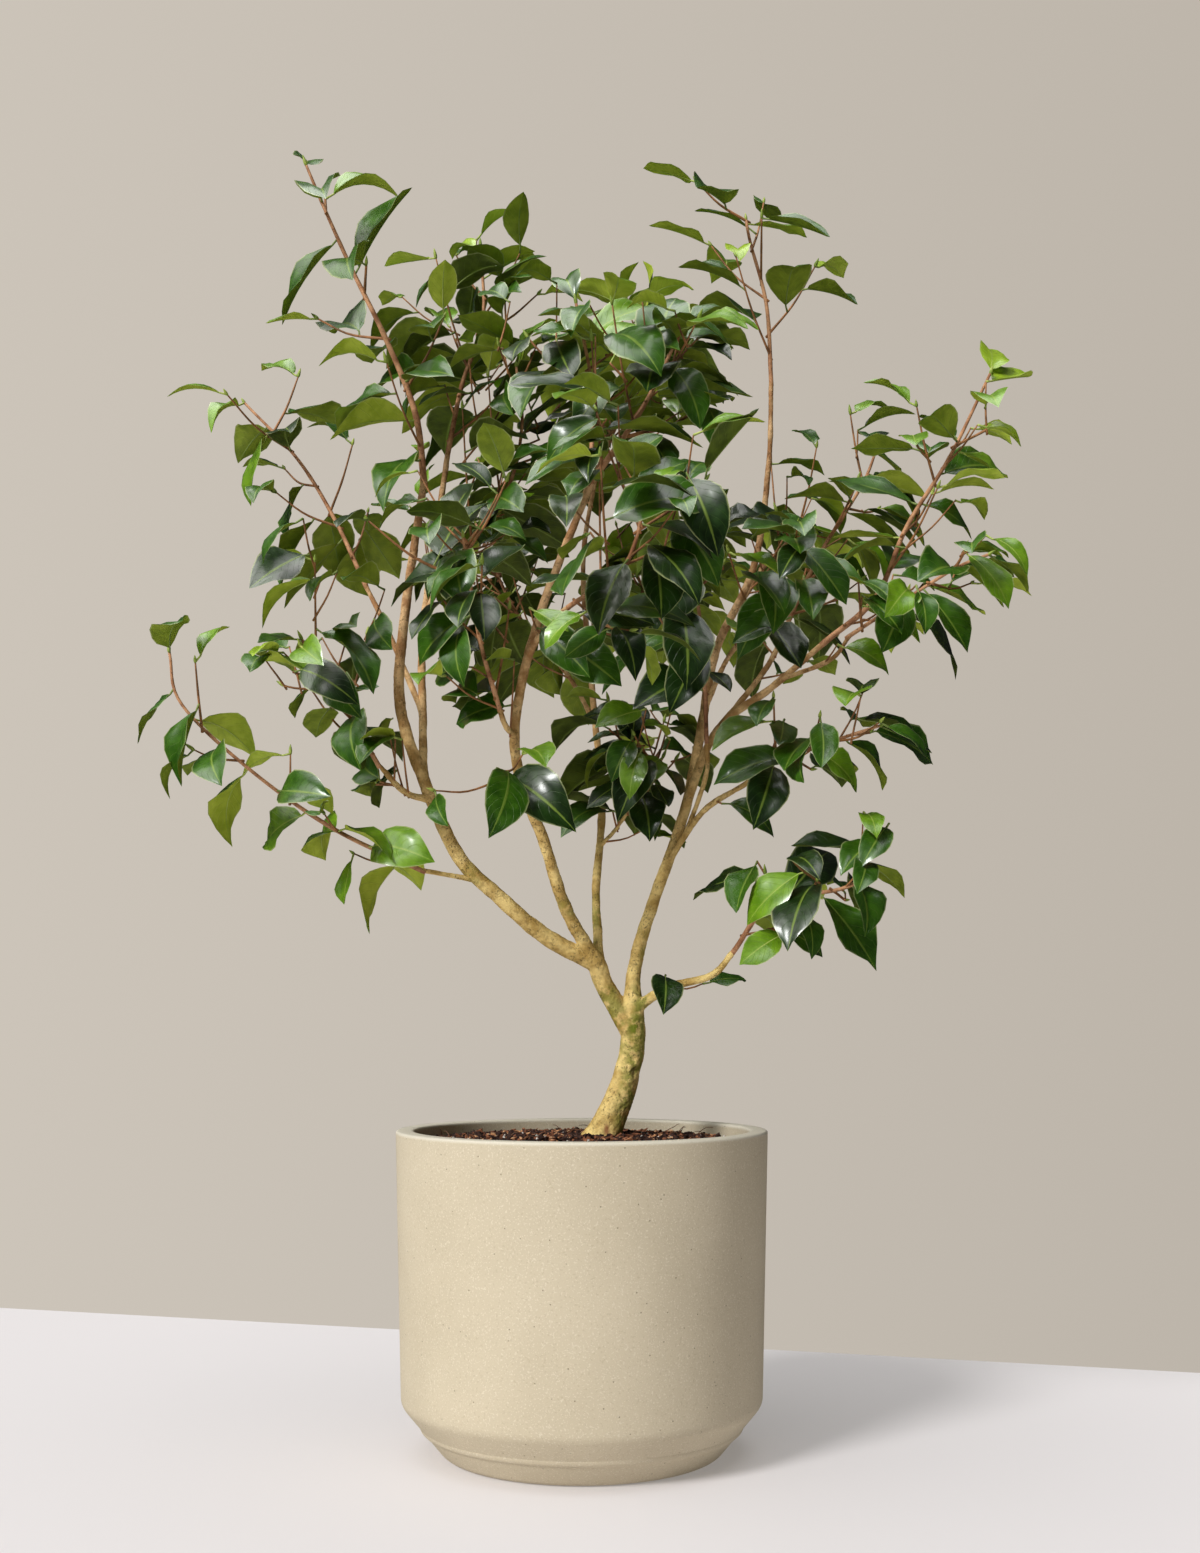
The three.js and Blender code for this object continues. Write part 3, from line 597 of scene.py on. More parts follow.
STEP = {"trunk": 18, "bough": 40, "stem": 38, "twig": 75}
UP = np.array([0.0, 0.0, 1.0])


def unit(vector):
    return vector / math.sqrt(float(vector @ vector))


class Line:
    """A smooth line through points, and the straight steps of about one length that the solids have.
    Between two points the line is the Catmull-Rom cubic of the four points round them."""

    def __init__(self, points, step):
        knots = np.asarray(points, float)
        share = np.linspace(0, len(knots) - 1, 24 * (len(knots) - 1) + 1)
        knots = np.vstack([2 * knots[0] - knots[1], knots, 2 * knots[-1] - knots[-2]])
        i = np.minimum(share.astype(int), len(knots) - 4)
        t = (share - i)[:, None]
        a, b, c, d = knots[i], knots[i + 1], knots[i + 2], knots[i + 3]
        bend = (2 * a - 5 * b + 4 * c - d) + t * (3 * (b - c) + d - a)
        self.fine = b + 0.5 * t * ((c - a) + t * bend)
        self.reach = np.concatenate([[0], np.cumsum(np.linalg.norm(np.diff(self.fine, axis=0), axis=1))])
        self.length = float(self.reach[-1])
        self.steps = max(1, int(math.floor(self.length / step + 0.5)))
        self.points = self.smooth(np.linspace(0, 1, self.steps + 1))
        self.leafy_to = 0.0
        self.bearer, self.root_share = None, 0.0

    def smooth(self, share):
        """Points on the smooth line at shares of its length."""
        along = np.asarray(share) * self.length
        return np.stack([np.interp(along, self.reach, self.fine[:, k]) for k in range(3)], -1)

    def step_of(self, share):
        at = np.clip(share, 0, 1) * self.steps
        i = np.minimum(np.floor(at).astype(int), self.steps - 1)
        return i, at - i

    def at(self, share):
        """Points on the straight steps at shares of the length."""
        i, rest = self.step_of(share)
        return self.points[i] + (self.points[i + 1] - self.points[i]) * np.asarray(rest)[..., None]

    def direction(self, share):
        i, _ = self.step_of(share)
        return unit(self.points[i + 1] - self.points[i])

    def samples(self, spacing=6.0):
        return self.at(np.linspace(0, 1, math.ceil(self.length / spacing) + 1))

    def segments(self):
        """The straight steps, as pairs of points."""
        return np.stack([self.points[:-1], self.points[1:]], 1)


limb_lines = {}
for name, limb in LIMBS.items():
    if limb["on"]:
        start = limb_lines[limb["on"]].at(limb["at"])
        limb_lines[name] = Line([start, *limb["route"]], STEP["bough"])
    else:
        limb_lines[name] = Line(limb["route"], STEP["trunk"])
print("limbs run", round(sum(line.length for line in limb_lines.values())), "mm in all")

# %% [markdown]
# ## Bark
#
# A limb is a tube: rings across a path. A ring needs two directions across the path, and taking both
# from one fixed reference keeps rings from twisting. Where a limb leaves another it swells into a
# collar, and the trunk flares at the soil. The thick limbs near the fork are fused by a voxel remesh and
# a little smoothing, because real bark flows round a fork and tubes that pass through each other do not.
# The relief is then pressed into the mesh itself: slow swellings, fine cracks and a few old leaf scars.

# %% Tubes
def frames_along(path):
    """The direction of a path at each point, and two directions across it. The first is what is left
    of a fixed reference when its share along the path is taken off."""
    along = np.gradient(path, axis=0)
    along /= np.linalg.norm(along, axis=1)[:, None]
    mean = unit(path[-1] - path[0])
    reference = np.cross(mean, UP if abs(mean[2]) < 0.8 else np.array([1.0, 0, 0]))
    first = reference - (along @ reference)[:, None] * along
    first /= np.linalg.norm(first, axis=1)[:, None]
    return along, first, np.cross(along, first)


def tube(path, radii, sides):
    """Rings of the given radii across a path, with a blunt pole a third of a radius past each end."""
    along, first, second = frames_along(path)
    angle = (TURN * np.arange(sides) / sides)[None, :, None]
    ring = np.cos(angle) * first[:, None] + np.sin(angle) * second[:, None]
    rings = path[:, None] + np.asarray(radii)[:, None, None] * ring
    return close_stack(rings, path[0] - along[0] * radii[0] / 3, path[-1] + along[-1] * radii[-1] / 3)


# %% Limb tubes
COLLAR = {"extra": 0.42, "fade": 2.4}
ROOT_FLARE = {"extra": 6.0, "fade": 13.0, "foot": 306.0}
TRUNK_WAIST = {"depth": 0.6, "at": 95, "length": 16}
FORK_SWELL, FORK_SLIM, SLIM_LENGTH = 0.35, 0.7, 18
RING_GAP, OVERLAP = 2.6, 30
FORK_SIDES, THICK_SIDES, THIN_SIDES = 28, 14, 10
WHOLE = 999
FORK_REACH = {"trunk": WHOLE, "left_fork": WHOLE, "left_bough": 95, "middle_bough": 75, "back_bough": 65,
              "right_bough": 80, "low_right_bough": 60}


def limb_radii(name, along, length, points):
    """An even taper, swollen by the root flare, or by a collar that dies away over a few radii and is
    never wider than what bears it."""
    start, end = LIMBS[name]["thick"]
    radii = start + (end - start) * along / length
    if name == "trunk":
        above = np.maximum(points[:, 2] - ROOT_FLARE["foot"], 0)
        flare = ROOT_FLARE["extra"] * np.exp(-above / ROOT_FLARE["fade"])
        waist = TRUNK_WAIST["depth"] * np.exp(-((along - TRUNK_WAIST["at"]) / TRUNK_WAIST["length"]) ** 2)
        return radii + flare - waist
    bearer = LIMBS[LIMBS[name]["on"]]["thick"]
    room = (bearer[0] + (bearer[1] - bearer[0]) * LIMBS[name]["at"]) * 0.97 / start - 1
    extra = min(COLLAR["extra"], max(room, 0.0))
    return radii * (1 + extra * np.exp(-(along / (COLLAR["fade"] * start)) ** 2))


def limb_tube(name, first=0.0, last=WHOLE, sides=THIN_SIDES, slim_end=0.0, swell=0.0):
    """The tube of one limb between two distances along it."""
    line = limb_lines[name]
    last = min(last, line.length)
    along = np.linspace(first, last, max(4, int((last - first) / RING_GAP)))
    path = line.smooth(along / line.length)
    radii = limb_radii(name, along, line.length, path) + swell
    radii = radii - slim_end * np.clip((along - last + SLIM_LENGTH) / SLIM_LENGTH, 0, 1)
    return tube(path, radii, sides)


fork_tubes = [limb_tube(name, last=reach, sides=FORK_SIDES, slim_end=FORK_SLIM if reach < WHOLE else 0,
                        swell=FORK_SWELL) for name, reach in FORK_REACH.items()]
bough_tubes = []
for name, limb in LIMBS.items():
    if FORK_REACH.get(name, 0) < WHOLE:
        first = max(FORK_REACH.get(name, 0) - OVERLAP, 0)
        sides = THICK_SIDES if limb["thick"][0] > 4 else THIN_SIDES
        bough_tubes.append(limb_tube(name, first, sides=sides))
print("tubes in the fork:", len(fork_tubes), "and beyond it:", len(bough_tubes))


# %% Bark relief
def bark_height(points):
    """How far the bark stands out, in millimetres: slow swellings, cracks that run along the limb,
    which are ripples squeezed in height, and grain."""
    tall = points * np.array([1.0, 1.0, 0.35])
    swelling = 0.5 * ripple(points, 24.0, 11)
    cracks = -0.55 * np.abs(ripple(tall, 5.0, 17)) + 0.2
    grain = 0.2 * ripple(points, 2.6, 23)
    return swelling + cracks + grain


SCARS = ((52, -9, 378, 3.6, -3.0), (52, -9.5, 378, 1.6, 2.2), (54, -8, 386, 4.0, 1.5),
         (47, -12, 369, 5, 1.5), (30, -13, 345, 7, 0.9), (42, -13, 404, 7, 0.8), (56, -9, 452, 5, 1.0),
         (-60, -33, 533, 5, 1.3), (-104, -44, 574, 4.5, 1.2), (82, 2, 580, 5, 1.0))


def press_relief(surface, share=1.0):
    """Moves each point out along its own normal by the bark's height, with more at the old scars."""
    points, faces = surface
    mesh = bpy.data.meshes.new("bark_work")
    mesh.from_pydata(points.tolist(), [], [face for block in faces for face in block.tolist()])
    normals = np.zeros(len(points) * 3, np.float32)
    mesh.vertices.foreach_get("normal", normals)
    bpy.data.meshes.remove(mesh)
    height = share * bark_height(points)
    for x, y, z, size, rise in SCARS:
        distance = np.linalg.norm(points - np.array([x, y, z]), axis=1)
        height = height + rise * np.exp(-(distance / size) ** 2)
    return points + height[:, None] * normals.reshape(-1, 3), faces


def fuse(surface, voxel, smoothing):
    """One skin round tubes that pass through each other: a voxel remesh and some smoothing."""
    points, faces = surface
    mesh = bpy.data.meshes.new("fork_work")
    mesh.from_pydata((points * MM).tolist(), [], [face for block in faces for face in block.tolist()])
    work = bpy.data.objects.new("fork_work", mesh)
    bpy.context.scene.collection.objects.link(work)
    remesh = work.modifiers.new("skin", "REMESH")
    remesh.mode = "VOXEL"
    remesh.voxel_size = voxel * MM
    smooth = work.modifiers.new("flow", "SMOOTH")
    smooth.factor = 0.5
    smooth.iterations = smoothing
    skin = work.evaluated_get(bpy.context.evaluated_depsgraph_get()).to_mesh()
    fused = np.zeros(len(skin.vertices) * 3, np.float32)
    skin.vertices.foreach_get("co", fused)
    corners = np.zeros(len(skin.loops), np.int32)
    skin.loops.foreach_get("vertex_index", corners)
    work.evaluated_get(bpy.context.evaluated_depsgraph_get()).to_mesh_clear()
    bpy.data.objects.remove(work)
    return fused.reshape(-1, 3).astype(float) / MM, [corners.reshape(-1, 4)]


fork_surface = press_relief(fuse(join_surfaces(fork_tubes), voxel=1.15, smoothing=7))
bough_surface = press_relief(join_surfaces(bough_tubes), share=0.6)
print("fused fork:", len(fork_surface[0]), "points")

# %% [markdown]
# Camellia bark is smooth and tan, with small dark flecks. Green algae films the shaded right side of
# the trunk, and higher up the boughs turn from tan to a warm brown. One finish does all of it: height
# decides how far the colour has gone towards brown, and the side of the trunk how green it is. A dark
# knot and a red-brown streak at the foot are two marks, each a ball about a point in space that is
# squeezed in height, so that the mark comes out tall.

# %% Bark finish
STRETCH = 0.45
MARKS = (((0.0518, -0.0092, 0.378), 0.0042, paint(58, 44, 22)),
         ((0.0245, -0.0165, 0.321), 0.0046, paint(140, 76, 44)))


def make_bark():
    bark = Finish("camellia_bark", paint(196, 164, 108), 0.75, Specular_IOR_Level=0.3)
    place = bark.place()
    x, z = bark.part(place, "X"), bark.part(place, "Z")
    patches, mottle = bark.noise(place, 48.0, 4.0, 0.6), bark.noise(place, 210.0, 3.0, 0.6)
    tan = bark.mix(patches.between(0.35, 0.65), paint(196, 160, 86), paint(250, 220, 142))
    brown = bark.mix(patches.between(0.4, 0.6), paint(170, 122, 78), paint(226, 184, 134))
    colour = bark.mix(z.between(0.52, 0.85), tan, brown)
    colour = bark.mix(mottle.between(0.50, 0.68) * 0.4, colour, paint(138, 108, 58))
    side = (x - 0.030 - (z - 0.33).size() * 0.16).between(-0.004, 0.010)
    film = side * (1 - z.between(0.44, 0.54)) + bark.noise(place, 20.0, 2.0).between(0.5, 0.66) * 0.85
    film = film * bark.noise(place, 120.0, 3.0).between(0.34, 0.56) * (1 - z.between(0.50, 0.66))
    film = film * (1 - x.between(0.060, 0.072))
    colour = bark.mix(film * 0.8, colour, paint(120, 128, 30))
    flecks = bark.noise(place, 520.0, 2.0, 0.6).between(0.57, 0.66)
    flecks = flecks * bark.noise(place, 70.0, 2.0).between(0.42, 0.6)
    colour = bark.mix(flecks * 0.6, colour, paint(84, 68, 34))
    inputs = {0: place, 1: (1.0, 1.0, STRETCH)}
    low = bark.node("ShaderNodeVectorMath", {"operation": "MULTIPLY"}, inputs)
    for (mark_x, mark_y, mark_z), size, dark in MARKS:
        inputs = {0: low, 1: (mark_x, mark_y, mark_z * STRETCH)}
        away = bark.node("ShaderNodeVectorMath", {"operation": "DISTANCE"}, inputs, output=1)
        colour = bark.mix((1 - away.between(size * 0.2, size)) * 0.85, colour, dark)
    bark.set(Base_Color=colour, Roughness=0.62 + patches * 0.25)
    bark.relief(mottle * 1.2 + bark.noise(place, 700.0, 3.0) * 0.5 - flecks * 0.6, 0.0010)
    return bark.material


bark_finish = make_bark()
make_piece("trunk_and_fork", fork_surface, [bark_finish], list(FORK_REACH))
bough_nodes = [name for name in LIMBS if name != "trunk"]
make_piece("boughs", bough_surface, [bark_finish], bough_nodes)

# %% [markdown]
# With tubes at hand, the soil gets its dead roots, which lie on the potting bark or stick up out of it.
# Each is a thin bent tube whose middle stands higher than its ends. One in four has an end in the air.

# %% Dead roots
ROOTS = {"count": 70, "seed": 131, "radius": 0.55, "reach": 150, "rings": 8, "sides": 5, "top": 319}


def compass(angle):
    """The level direction at an angle from X."""
    return np.array([math.cos(angle), math.sin(angle), 0.0])


def dead_root(k):
    """One thin bent tube: its path runs straight on, plus a bow to one side and one upwards, both of
    which are largest in the middle."""
    out, round_pot, way, half, bow, arch = [draw(ROOTS["seed"] + thing, k) for thing in range(6)]
    middle = ROOTS["reach"] * math.sqrt(out) * compass(TURN * round_pot)
    share = np.linspace(-1, 1, ROOTS["rings"])[:, None]
    path = middle + share * (4 + 9 * half) * compass(TURN * way)
    path = path + (1 - share ** 2) * 7 * (bow - 0.5) * compass(TURN * way + TURN / 4)
    rise = 2.5 + 3 * arch * (1 - share[:, 0] ** 2)
    if k % 4 == 0:
        rise = rise + 6 * (share[:, 0] + 1)
    path[:, 2] = np.minimum(bed_height(path[:, 0], path[:, 1]) + rise, ROOTS["top"])
    return tube(path, np.linspace(1.0, 0.5, ROOTS["rings"]) * ROOTS["radius"], ROOTS["sides"])


root_finish = make_soil_finish("dead_root", paint(74, 50, 38), paint(140, 102, 74), 0.8)
root_surface = join_surfaces([dead_root(k) for k in range(ROOTS["count"])])
make_piece("dead_roots", root_surface, [root_finish])

# %% [markdown]
# ## How a spray grows
#
# Beyond each bough a stem runs on, and twigs leave it by the golden angle, as buds do. A twig may use
# only space that is nearer to its own stem than to any other, and it keeps clear of the limbs, so that
# two sprays never mix. One that would stray is turned a little and made shorter, up to five times, and
# then left out. This is the rule that made the solids. Here it goes one step finer: the stem, its twigs
# and the end of its bough may bear side twigs of their own, with slightly smaller leaves, which fill the
# same space. A spray then sheds a share of its leaves, by a draw for each, and a twig that has lost
# all of them goes too. That is what leaves the crown as open as a real one. A row holds the bough, the
# number of twigs, their reach, a seed, how light the leaves are, side twigs for each bearer with their
# seed, the share of leaves shed with its seed, and the points of the stem.

# %% Stems of the sprays
SPRAY_ROWS = {
    "top_left": ("left_bough", 5, 105, 9, 0.8, (0, 0), (0.22, 52), [(-160, -65, 1015),
        (-188, -70, 1085), (-220, -75, 1150), (-245, -80, 1205), (-262, -82, 1245)]),
    "upper_left": ("inner_left_bough", 5, 110, 28, 0.55, (1, 18), (0.12, 55), [(-126, 80, 1095),
        (-105, 90, 1165), (-108, 94, 1245)]),
    "left": ("left_side_bough", 6, 90, 17, 0.55, (0, 0), (0.12, 27), [(-255, 50, 945), (-295, 60, 1010),
        (-352, 72, 1072)]),
    "left_middle": ("left_middle_bough", 5, 110, 20, 0.45, (3, 18), (0.32, 49), [(-225, -95, 730),
        (-262, -105, 788)]),
    "low_left": ("low_left_bough", 5, 65, 13, 0.6, (0, 0), (0.0, 1), [(-235, -88, 612),
        (-310, -110, 665), (-372, -120, 725), (-382, -125, 772)]),
    "front_left": ("front_left_bough", 6, 115, 6, 0.2, (2, 13), (0.32, 52), [(-92, -160, 780),
        (-105, -195, 870)]),
    "center_left": ("center_left_bough", 5, 110, 6, 0.3, (3, 9), (0.0, 1), [(-75, 0, 960),
        (-60, 0, 1025), (-66, 5, 1085)]),
    "center_top": ("middle_bough", 5, 105, 18, 0.4, (2, 3), (0.0, 1), [(55, -130, 993),
        (90, -136, 1060)]),
    "crown": ("crown_bough", 5, 110, 35, 0.5, (1, 14), (0.12, 53), [(10, -70, 1040), (-5, -65, 1120)]),
    "back_top": ("back_bough", 5, 105, 11, 0.5, (2, 7), (0.0, 1), [(45, 180, 1105), (70, 190, 1170)]),
    "front": ("front_bough", 6, 115, 40, 0.15, (1, 19), (0.12, 2), [(40, -215, 830), (60, -245, 890)]),
    "back_right": ("back_right_bough", 5, 110, 23, 0.4, (3, 3), (0.0, 1), [(80, 215, 925),
        (115, 250, 990)]),
    "back_left": ("back_left_bough", 6, 115, 22, 0.4, (3, 2), (0.0, 1), [(-80, 225, 895),
        (-125, 265, 1000)]),
    "inner_right": ("inner_right_bough", 5, 110, 28, 0.1, (1, 4), (0.12, 2), [(118, -60, 780),
        (108, -68, 860), (92, -75, 940)]),
    "top_right": ("right_bough", 6, 85, 34, 0.7, (0, 0), (0.22, 27), [(190, 60, 1170), (172, 60, 1240),
        (165, 60, 1290)]),
    "right": ("right_back_bough", 5, 105, 11, 0.5, (1, 7), (0.22, 29), [(242, 48, 905), (290, 66, 985),
        (308, 72, 1030)]),
    "far_right": ("right_side_bough", 5, 85, 23, 0.85, (1, 5), (0.12, 53), [(282, -75, 835),
        (310, -85, 900), (350, -90, 965), (386, -100, 1040)]),
    "right_spray": ("right_spray_bough", 4, 70, 31, 0.6, (1, 7), (0.12, 2), [(300, -110, 822),
        (350, -120, 852), (378, -128, 862)]),
    "right_middle": ("right_middle_bough", 5, 80, 30, 0.3, (1, 18), (0.12, 39), [(225, -95, 690),
        (280, -112, 706)]),
    "low_right": ("low_right_bough", 5, 90, 1, 0.35, (1, 11), (0.22, 2), [(185, -60, 545),
        (250, -84, 556), (314, -98, 588)]),
    "front_right": ("front_right_bough", 5, 105, 37, 0.2, (1, 14), (0.12, 18), [(180, -130, 825),
        (196, -185, 865)]),
    "outer_back": ("outer_back_bough", 6, 95, 27, 0.4, (1, 14), (0.22, 3), [(225, 165, 955),
        (250, 200, 1000)]),
    "low_center": ("low_center_bough", 5, 90, 35, 0.1, (2, 14), (0.12, 45), [(66, 5, 668),
        (80, -15, 690)]),
    "low_front": ("low_front_bough", 5, 80, 3, 0.15, (0, 0), (0.32, 38), [(-82, -120, 670),
        (-95, -145, 672)]),
}
# A spray's light sets how light its leaves' tones are. It is partly painted light and shade: sprays low
# in the crown and inside it mostly get darker tones, and those at the top and the outer sides lighter
# ones.
SPRAY_KEYS = ("on", "twigs", "reach", "seed", "light", "fine", "shed", "route")
SPRAYS = {name: dict(zip(SPRAY_KEYS, row)) for name, row in SPRAY_ROWS.items()}
STEM_GAP = 0.3
SPACE_GAP, LIMB_GAP = 4.0, 4.0
GOLDEN_ANGLE = math.radians(137.5)
DRAW = {"lean": 2, "hang": 3, "roll": 4, "length": 5, "width": 6, "turn": 7,
        "twig_place": 11, "twig_length": 12, "twig_turn": 13, "twig_lean": 14,
        "fine_place": 21, "fine_turn": 22, "fine_length": 23, "fine_lean": 24, "face": 25, "swing": 26}

stems = {}
for name, spray in SPRAYS.items():
    bough = limb_lines[spray["on"]]
    stems[name] = Line([bough.at(1) + STEM_GAP * bough.direction(1), *spray["route"]], STEP["stem"])
print("stems:", len(stems))


# %% Room to grow in
def chance(seed, index, what):
    """The draw for one thing on one leaf or twig, worked out as it was when the solids were grown."""
    wave = math.sin(seed * 12.9898 + index * 78.233 + DRAW[what] * 37.719) * 43758.5453
    return wave - math.floor(wave)


def gap(points, others):
    """The distance from each of some points to each of some others."""
    return np.sqrt(((points[:, None] - others[None]) ** 2).sum(-1))


stem_samples = {name: stem.samples() for name, stem in stems.items()}
other_samples = {name: np.vstack([points for other, points in stem_samples.items() if other != name])
                 for name in SPRAYS}
limb_samples = [limb_lines[name].samples() for name in LIMBS]
limb_points = np.vstack(limb_samples)
limb_widths = np.concatenate([np.linspace(*limb["thick"], len(points))
                              for limb, points in zip(LIMBS.values(), limb_samples)])
limb_segments = np.concatenate([line.segments() for line in limb_lines.values()])


def is_free(name, points):
    """Whether points are nearer to their own stem than to any other, and clear of every limb."""
    own = gap(points, stem_samples[name]).min(1)
    other = gap(points, other_samples[name]).min(1)
    limbs = (gap(points, limb_points) - limb_widths).min(1)
    return bool(((own + SPACE_GAP < other) & (limbs > LIMB_GAP)).all())


def crosses(segments, triangles):
    """Whether any segment passes through any triangle: the hit is the segment's start plus t times its
    way, and the corner plus u and v times the two edges, with all three shares in range."""
    if not len(segments) or not len(triangles):
        return False
    start, way = segments[:, None, 0], (segments[:, 1] - segments[:, 0])[:, None]
    corner = triangles[None, :, 0]
    edge_one, edge_two = [(triangles[:, k] - triangles[:, 0])[None] for k in (1, 2)]
    across_way = np.cross(way, edge_two)
    scale = (edge_one * across_way).sum(-1)
    scale = np.where(np.abs(scale) < 1e-9, np.inf, scale)
    offset = start - corner
    u = (offset * across_way).sum(-1) / scale
    turned_offset = np.cross(offset, edge_one)
    v = (way * turned_offset).sum(-1) / scale
    t = (edge_two * turned_offset).sum(-1) / scale
    return bool(((u >= 0) & (v >= 0) & (u + v <= 1) & (t >= 0) & (t <= 1)).any())


# %% Twigs
TWIG_LEAN, TWIG_LIFT = 50, 0.15
TRIES = {"twig": 5, "leaf": 5, "side_twig": 6}
TURN_ON = {"twig": 0.9, "leaf": 1.3, "side_twig": 1.05}
SHORTEN = {"twig": 0.17, "side_twig": 0.1}


def across(axis):
    """Two directions at right angles to an axis and to each other."""
    reference = UP if abs(axis[2]) < 0.8 else np.array([1.0, 0.0, 0.0])
    first = unit(np.cross(axis, reference))
    return first, np.cross(axis, first)


def twig_line(bearer, share, lean, turn, size):
    """A twig that leans off its bearer's axis, with its end lifted a little towards the light."""
    root, axis = bearer.at(share), bearer.direction(share)
    first, second = across(axis)
    way = math.cos(lean) * axis + math.sin(lean) * (math.cos(turn) * first + math.sin(turn) * second)
    way = unit(way + TWIG_LIFT * UP)
    end = root + 0.92 * size * way + 0.14 * size * UP
    line = Line([root, root + 0.5 * size * way, end], STEP["twig"])
    line.bearer, line.root_share = bearer, share
    return line


def grow_twigs(name):
    """Twigs along a stem, one golden angle apart, longer low down than near the tip."""
    spray, stem, grown = SPRAYS[name], stems[name], []
    seed = spray["seed"]
    for k in range(spray["twigs"]):
        share = 0.04 + 0.88 * (k + 0.7 * chance(seed, k, "twig_place")) / spray["twigs"]
        length = spray["reach"] * (1.1 - 0.4 * share) * (0.75 + 0.5 * chance(seed, k, "twig_length"))
        lean = math.radians(TWIG_LEAN) * (0.85 + 0.5 * chance(seed, k, "twig_lean"))
        for attempt in range(TRIES["twig"]):
            turn = GOLDEN_ANGLE * k + TURN * chance(seed, 0, "twig_turn") + attempt * TURN_ON["twig"]
            line = twig_line(stem, share, lean, turn, length * (1 - SHORTEN["twig"] * attempt))
            if is_free(name, line.samples()[1:]):
                grown.append(line)
                break
    return grown


# %% [markdown]
# A leaf leaves its twig by the golden angle too, and its stance depends on its height: high in the
# crown leaves lift, and low down they hang. Then light turns it. Its upper side goes outward and towards
# the lamp, and one that hangs swings aside. The rule tries each leaf's plain outline of eight corners
# against the leaves and twigs of its spray that are there, and turns the leaf on until it is clear of
# them all. A leaf that is never clear is left out.

# %% Leaves by the rule
LEAF = {"length": 84.0, "width": 0.56, "widest": 0.42, "stalk": 8.0, "gap": 35.0, "fold": 0.16,
        "recurve": 0.08, "rise": 0.5, "young": 0.35}
FIRST_LEAF, NEAR_TIP = 6, 55
BARE = {"stem": 0.05, "twig": 0.28, "side_twig": 0.25}
HANG = {"level_above": 1200.0, "hang_below": 650.0}
FACE = {"least": math.radians(8), "most": math.radians(60), "swing": math.radians(72)}
LIGHT_FROM = np.array([-0.5, -0.75, 0.75])
EDGE = np.array([[0.25, 0.85], [LEAF["widest"], 1], [0.7, 0.7]])


def stance_of(seed, index, root, axis, turn, near_tip):
    """The way a leaf points, its own right and its own up."""
    first, second = across(axis)
    lean = math.radians(50 + 25 * chance(seed, index, "lean")) * (1 - 0.4 * near_tip)
    shade = min(max((HANG["level_above"] - root[2]) / (HANG["level_above"] - HANG["hang_below"]), 0), 1)
    hang = 0.15 + 0.85 * shade * (0.4 + 0.9 * chance(seed, index, "hang"))
    forward = math.cos(lean) * (1 - 0.6 * (1 - near_tip) if hang > 0.5 else 1)
    out = math.cos(turn) * first + math.sin(turn) * second
    way = forward * axis + math.sin(lean) * out - hang * (1 - 0.4 * near_tip) * UP
    if way[2] > 0:
        way[2] *= LEAF["rise"]
    way = unit(way)
    lift = UP + 0.45 * unit(np.array([way[0], way[1], 1e-6]))
    flat = unit(lift - (lift @ way) * way)
    level = np.cross(way, flat)
    roll = math.radians(60) * (chance(seed, index, "roll") - 0.5)
    side = math.cos(roll) * level - math.sin(roll) * flat
    return way, side, math.cos(roll) * flat + math.sin(roll) * level


def turned_about(vector, axis, angle):
    """A vector turned about an axis: its share along the axis stays, and the rest goes round."""
    along = axis * float(axis @ vector)
    return along + math.cos(angle) * (vector - along) + math.sin(angle) * np.cross(axis, vector)


def face_light(seed, index, root, stance, near_tip):
    """A leaf turns its upper side outward and towards the light, by its own draw. One that hangs also
    swings aside in its own plane, about its own up."""
    outward = unit(np.array([root[0], root[1], 1e-6]))
    light = unit(outward + LIGHT_FROM)
    axis = np.cross(stance[2], light)
    whole = math.atan2(math.sqrt(float(axis @ axis)), float(stance[2] @ light))
    share = chance(seed, index, "face") * (1 - 0.5 * near_tip)
    angle = FACE["least"] + (FACE["most"] - FACE["least"]) * share
    stance = [turned_about(vector, unit(axis), min(angle, whole)) for vector in stance]
    hanging = max(-stance[0][2], 0.0)
    aside = 2 * chance(seed, index, "swing") - 1
    swing = FACE["swing"] * hanging * math.copysign(math.sqrt(abs(aside)), aside)
    return [turned_about(vector, stance[2], swing) for vector in stance]


def outline_of(foot, way, side, normal, length, width):
    """Foot, three points up the right edge, tip and three points down the left edge."""
    middle = foot + EDGE[:, :1] * length * way + normal * LEAF["fold"] * width / 2
    half = EDGE[:, 1:] * side * width / 2
    tip = foot + way * length - normal * LEAF["recurve"] * length
    return np.vstack([foot, middle + half, tip, (middle - half)[::-1]])


PLANT_BOX, PLANT_ROOM = np.array(cad_box) / MM, 4
NEAR_WOOD = 200


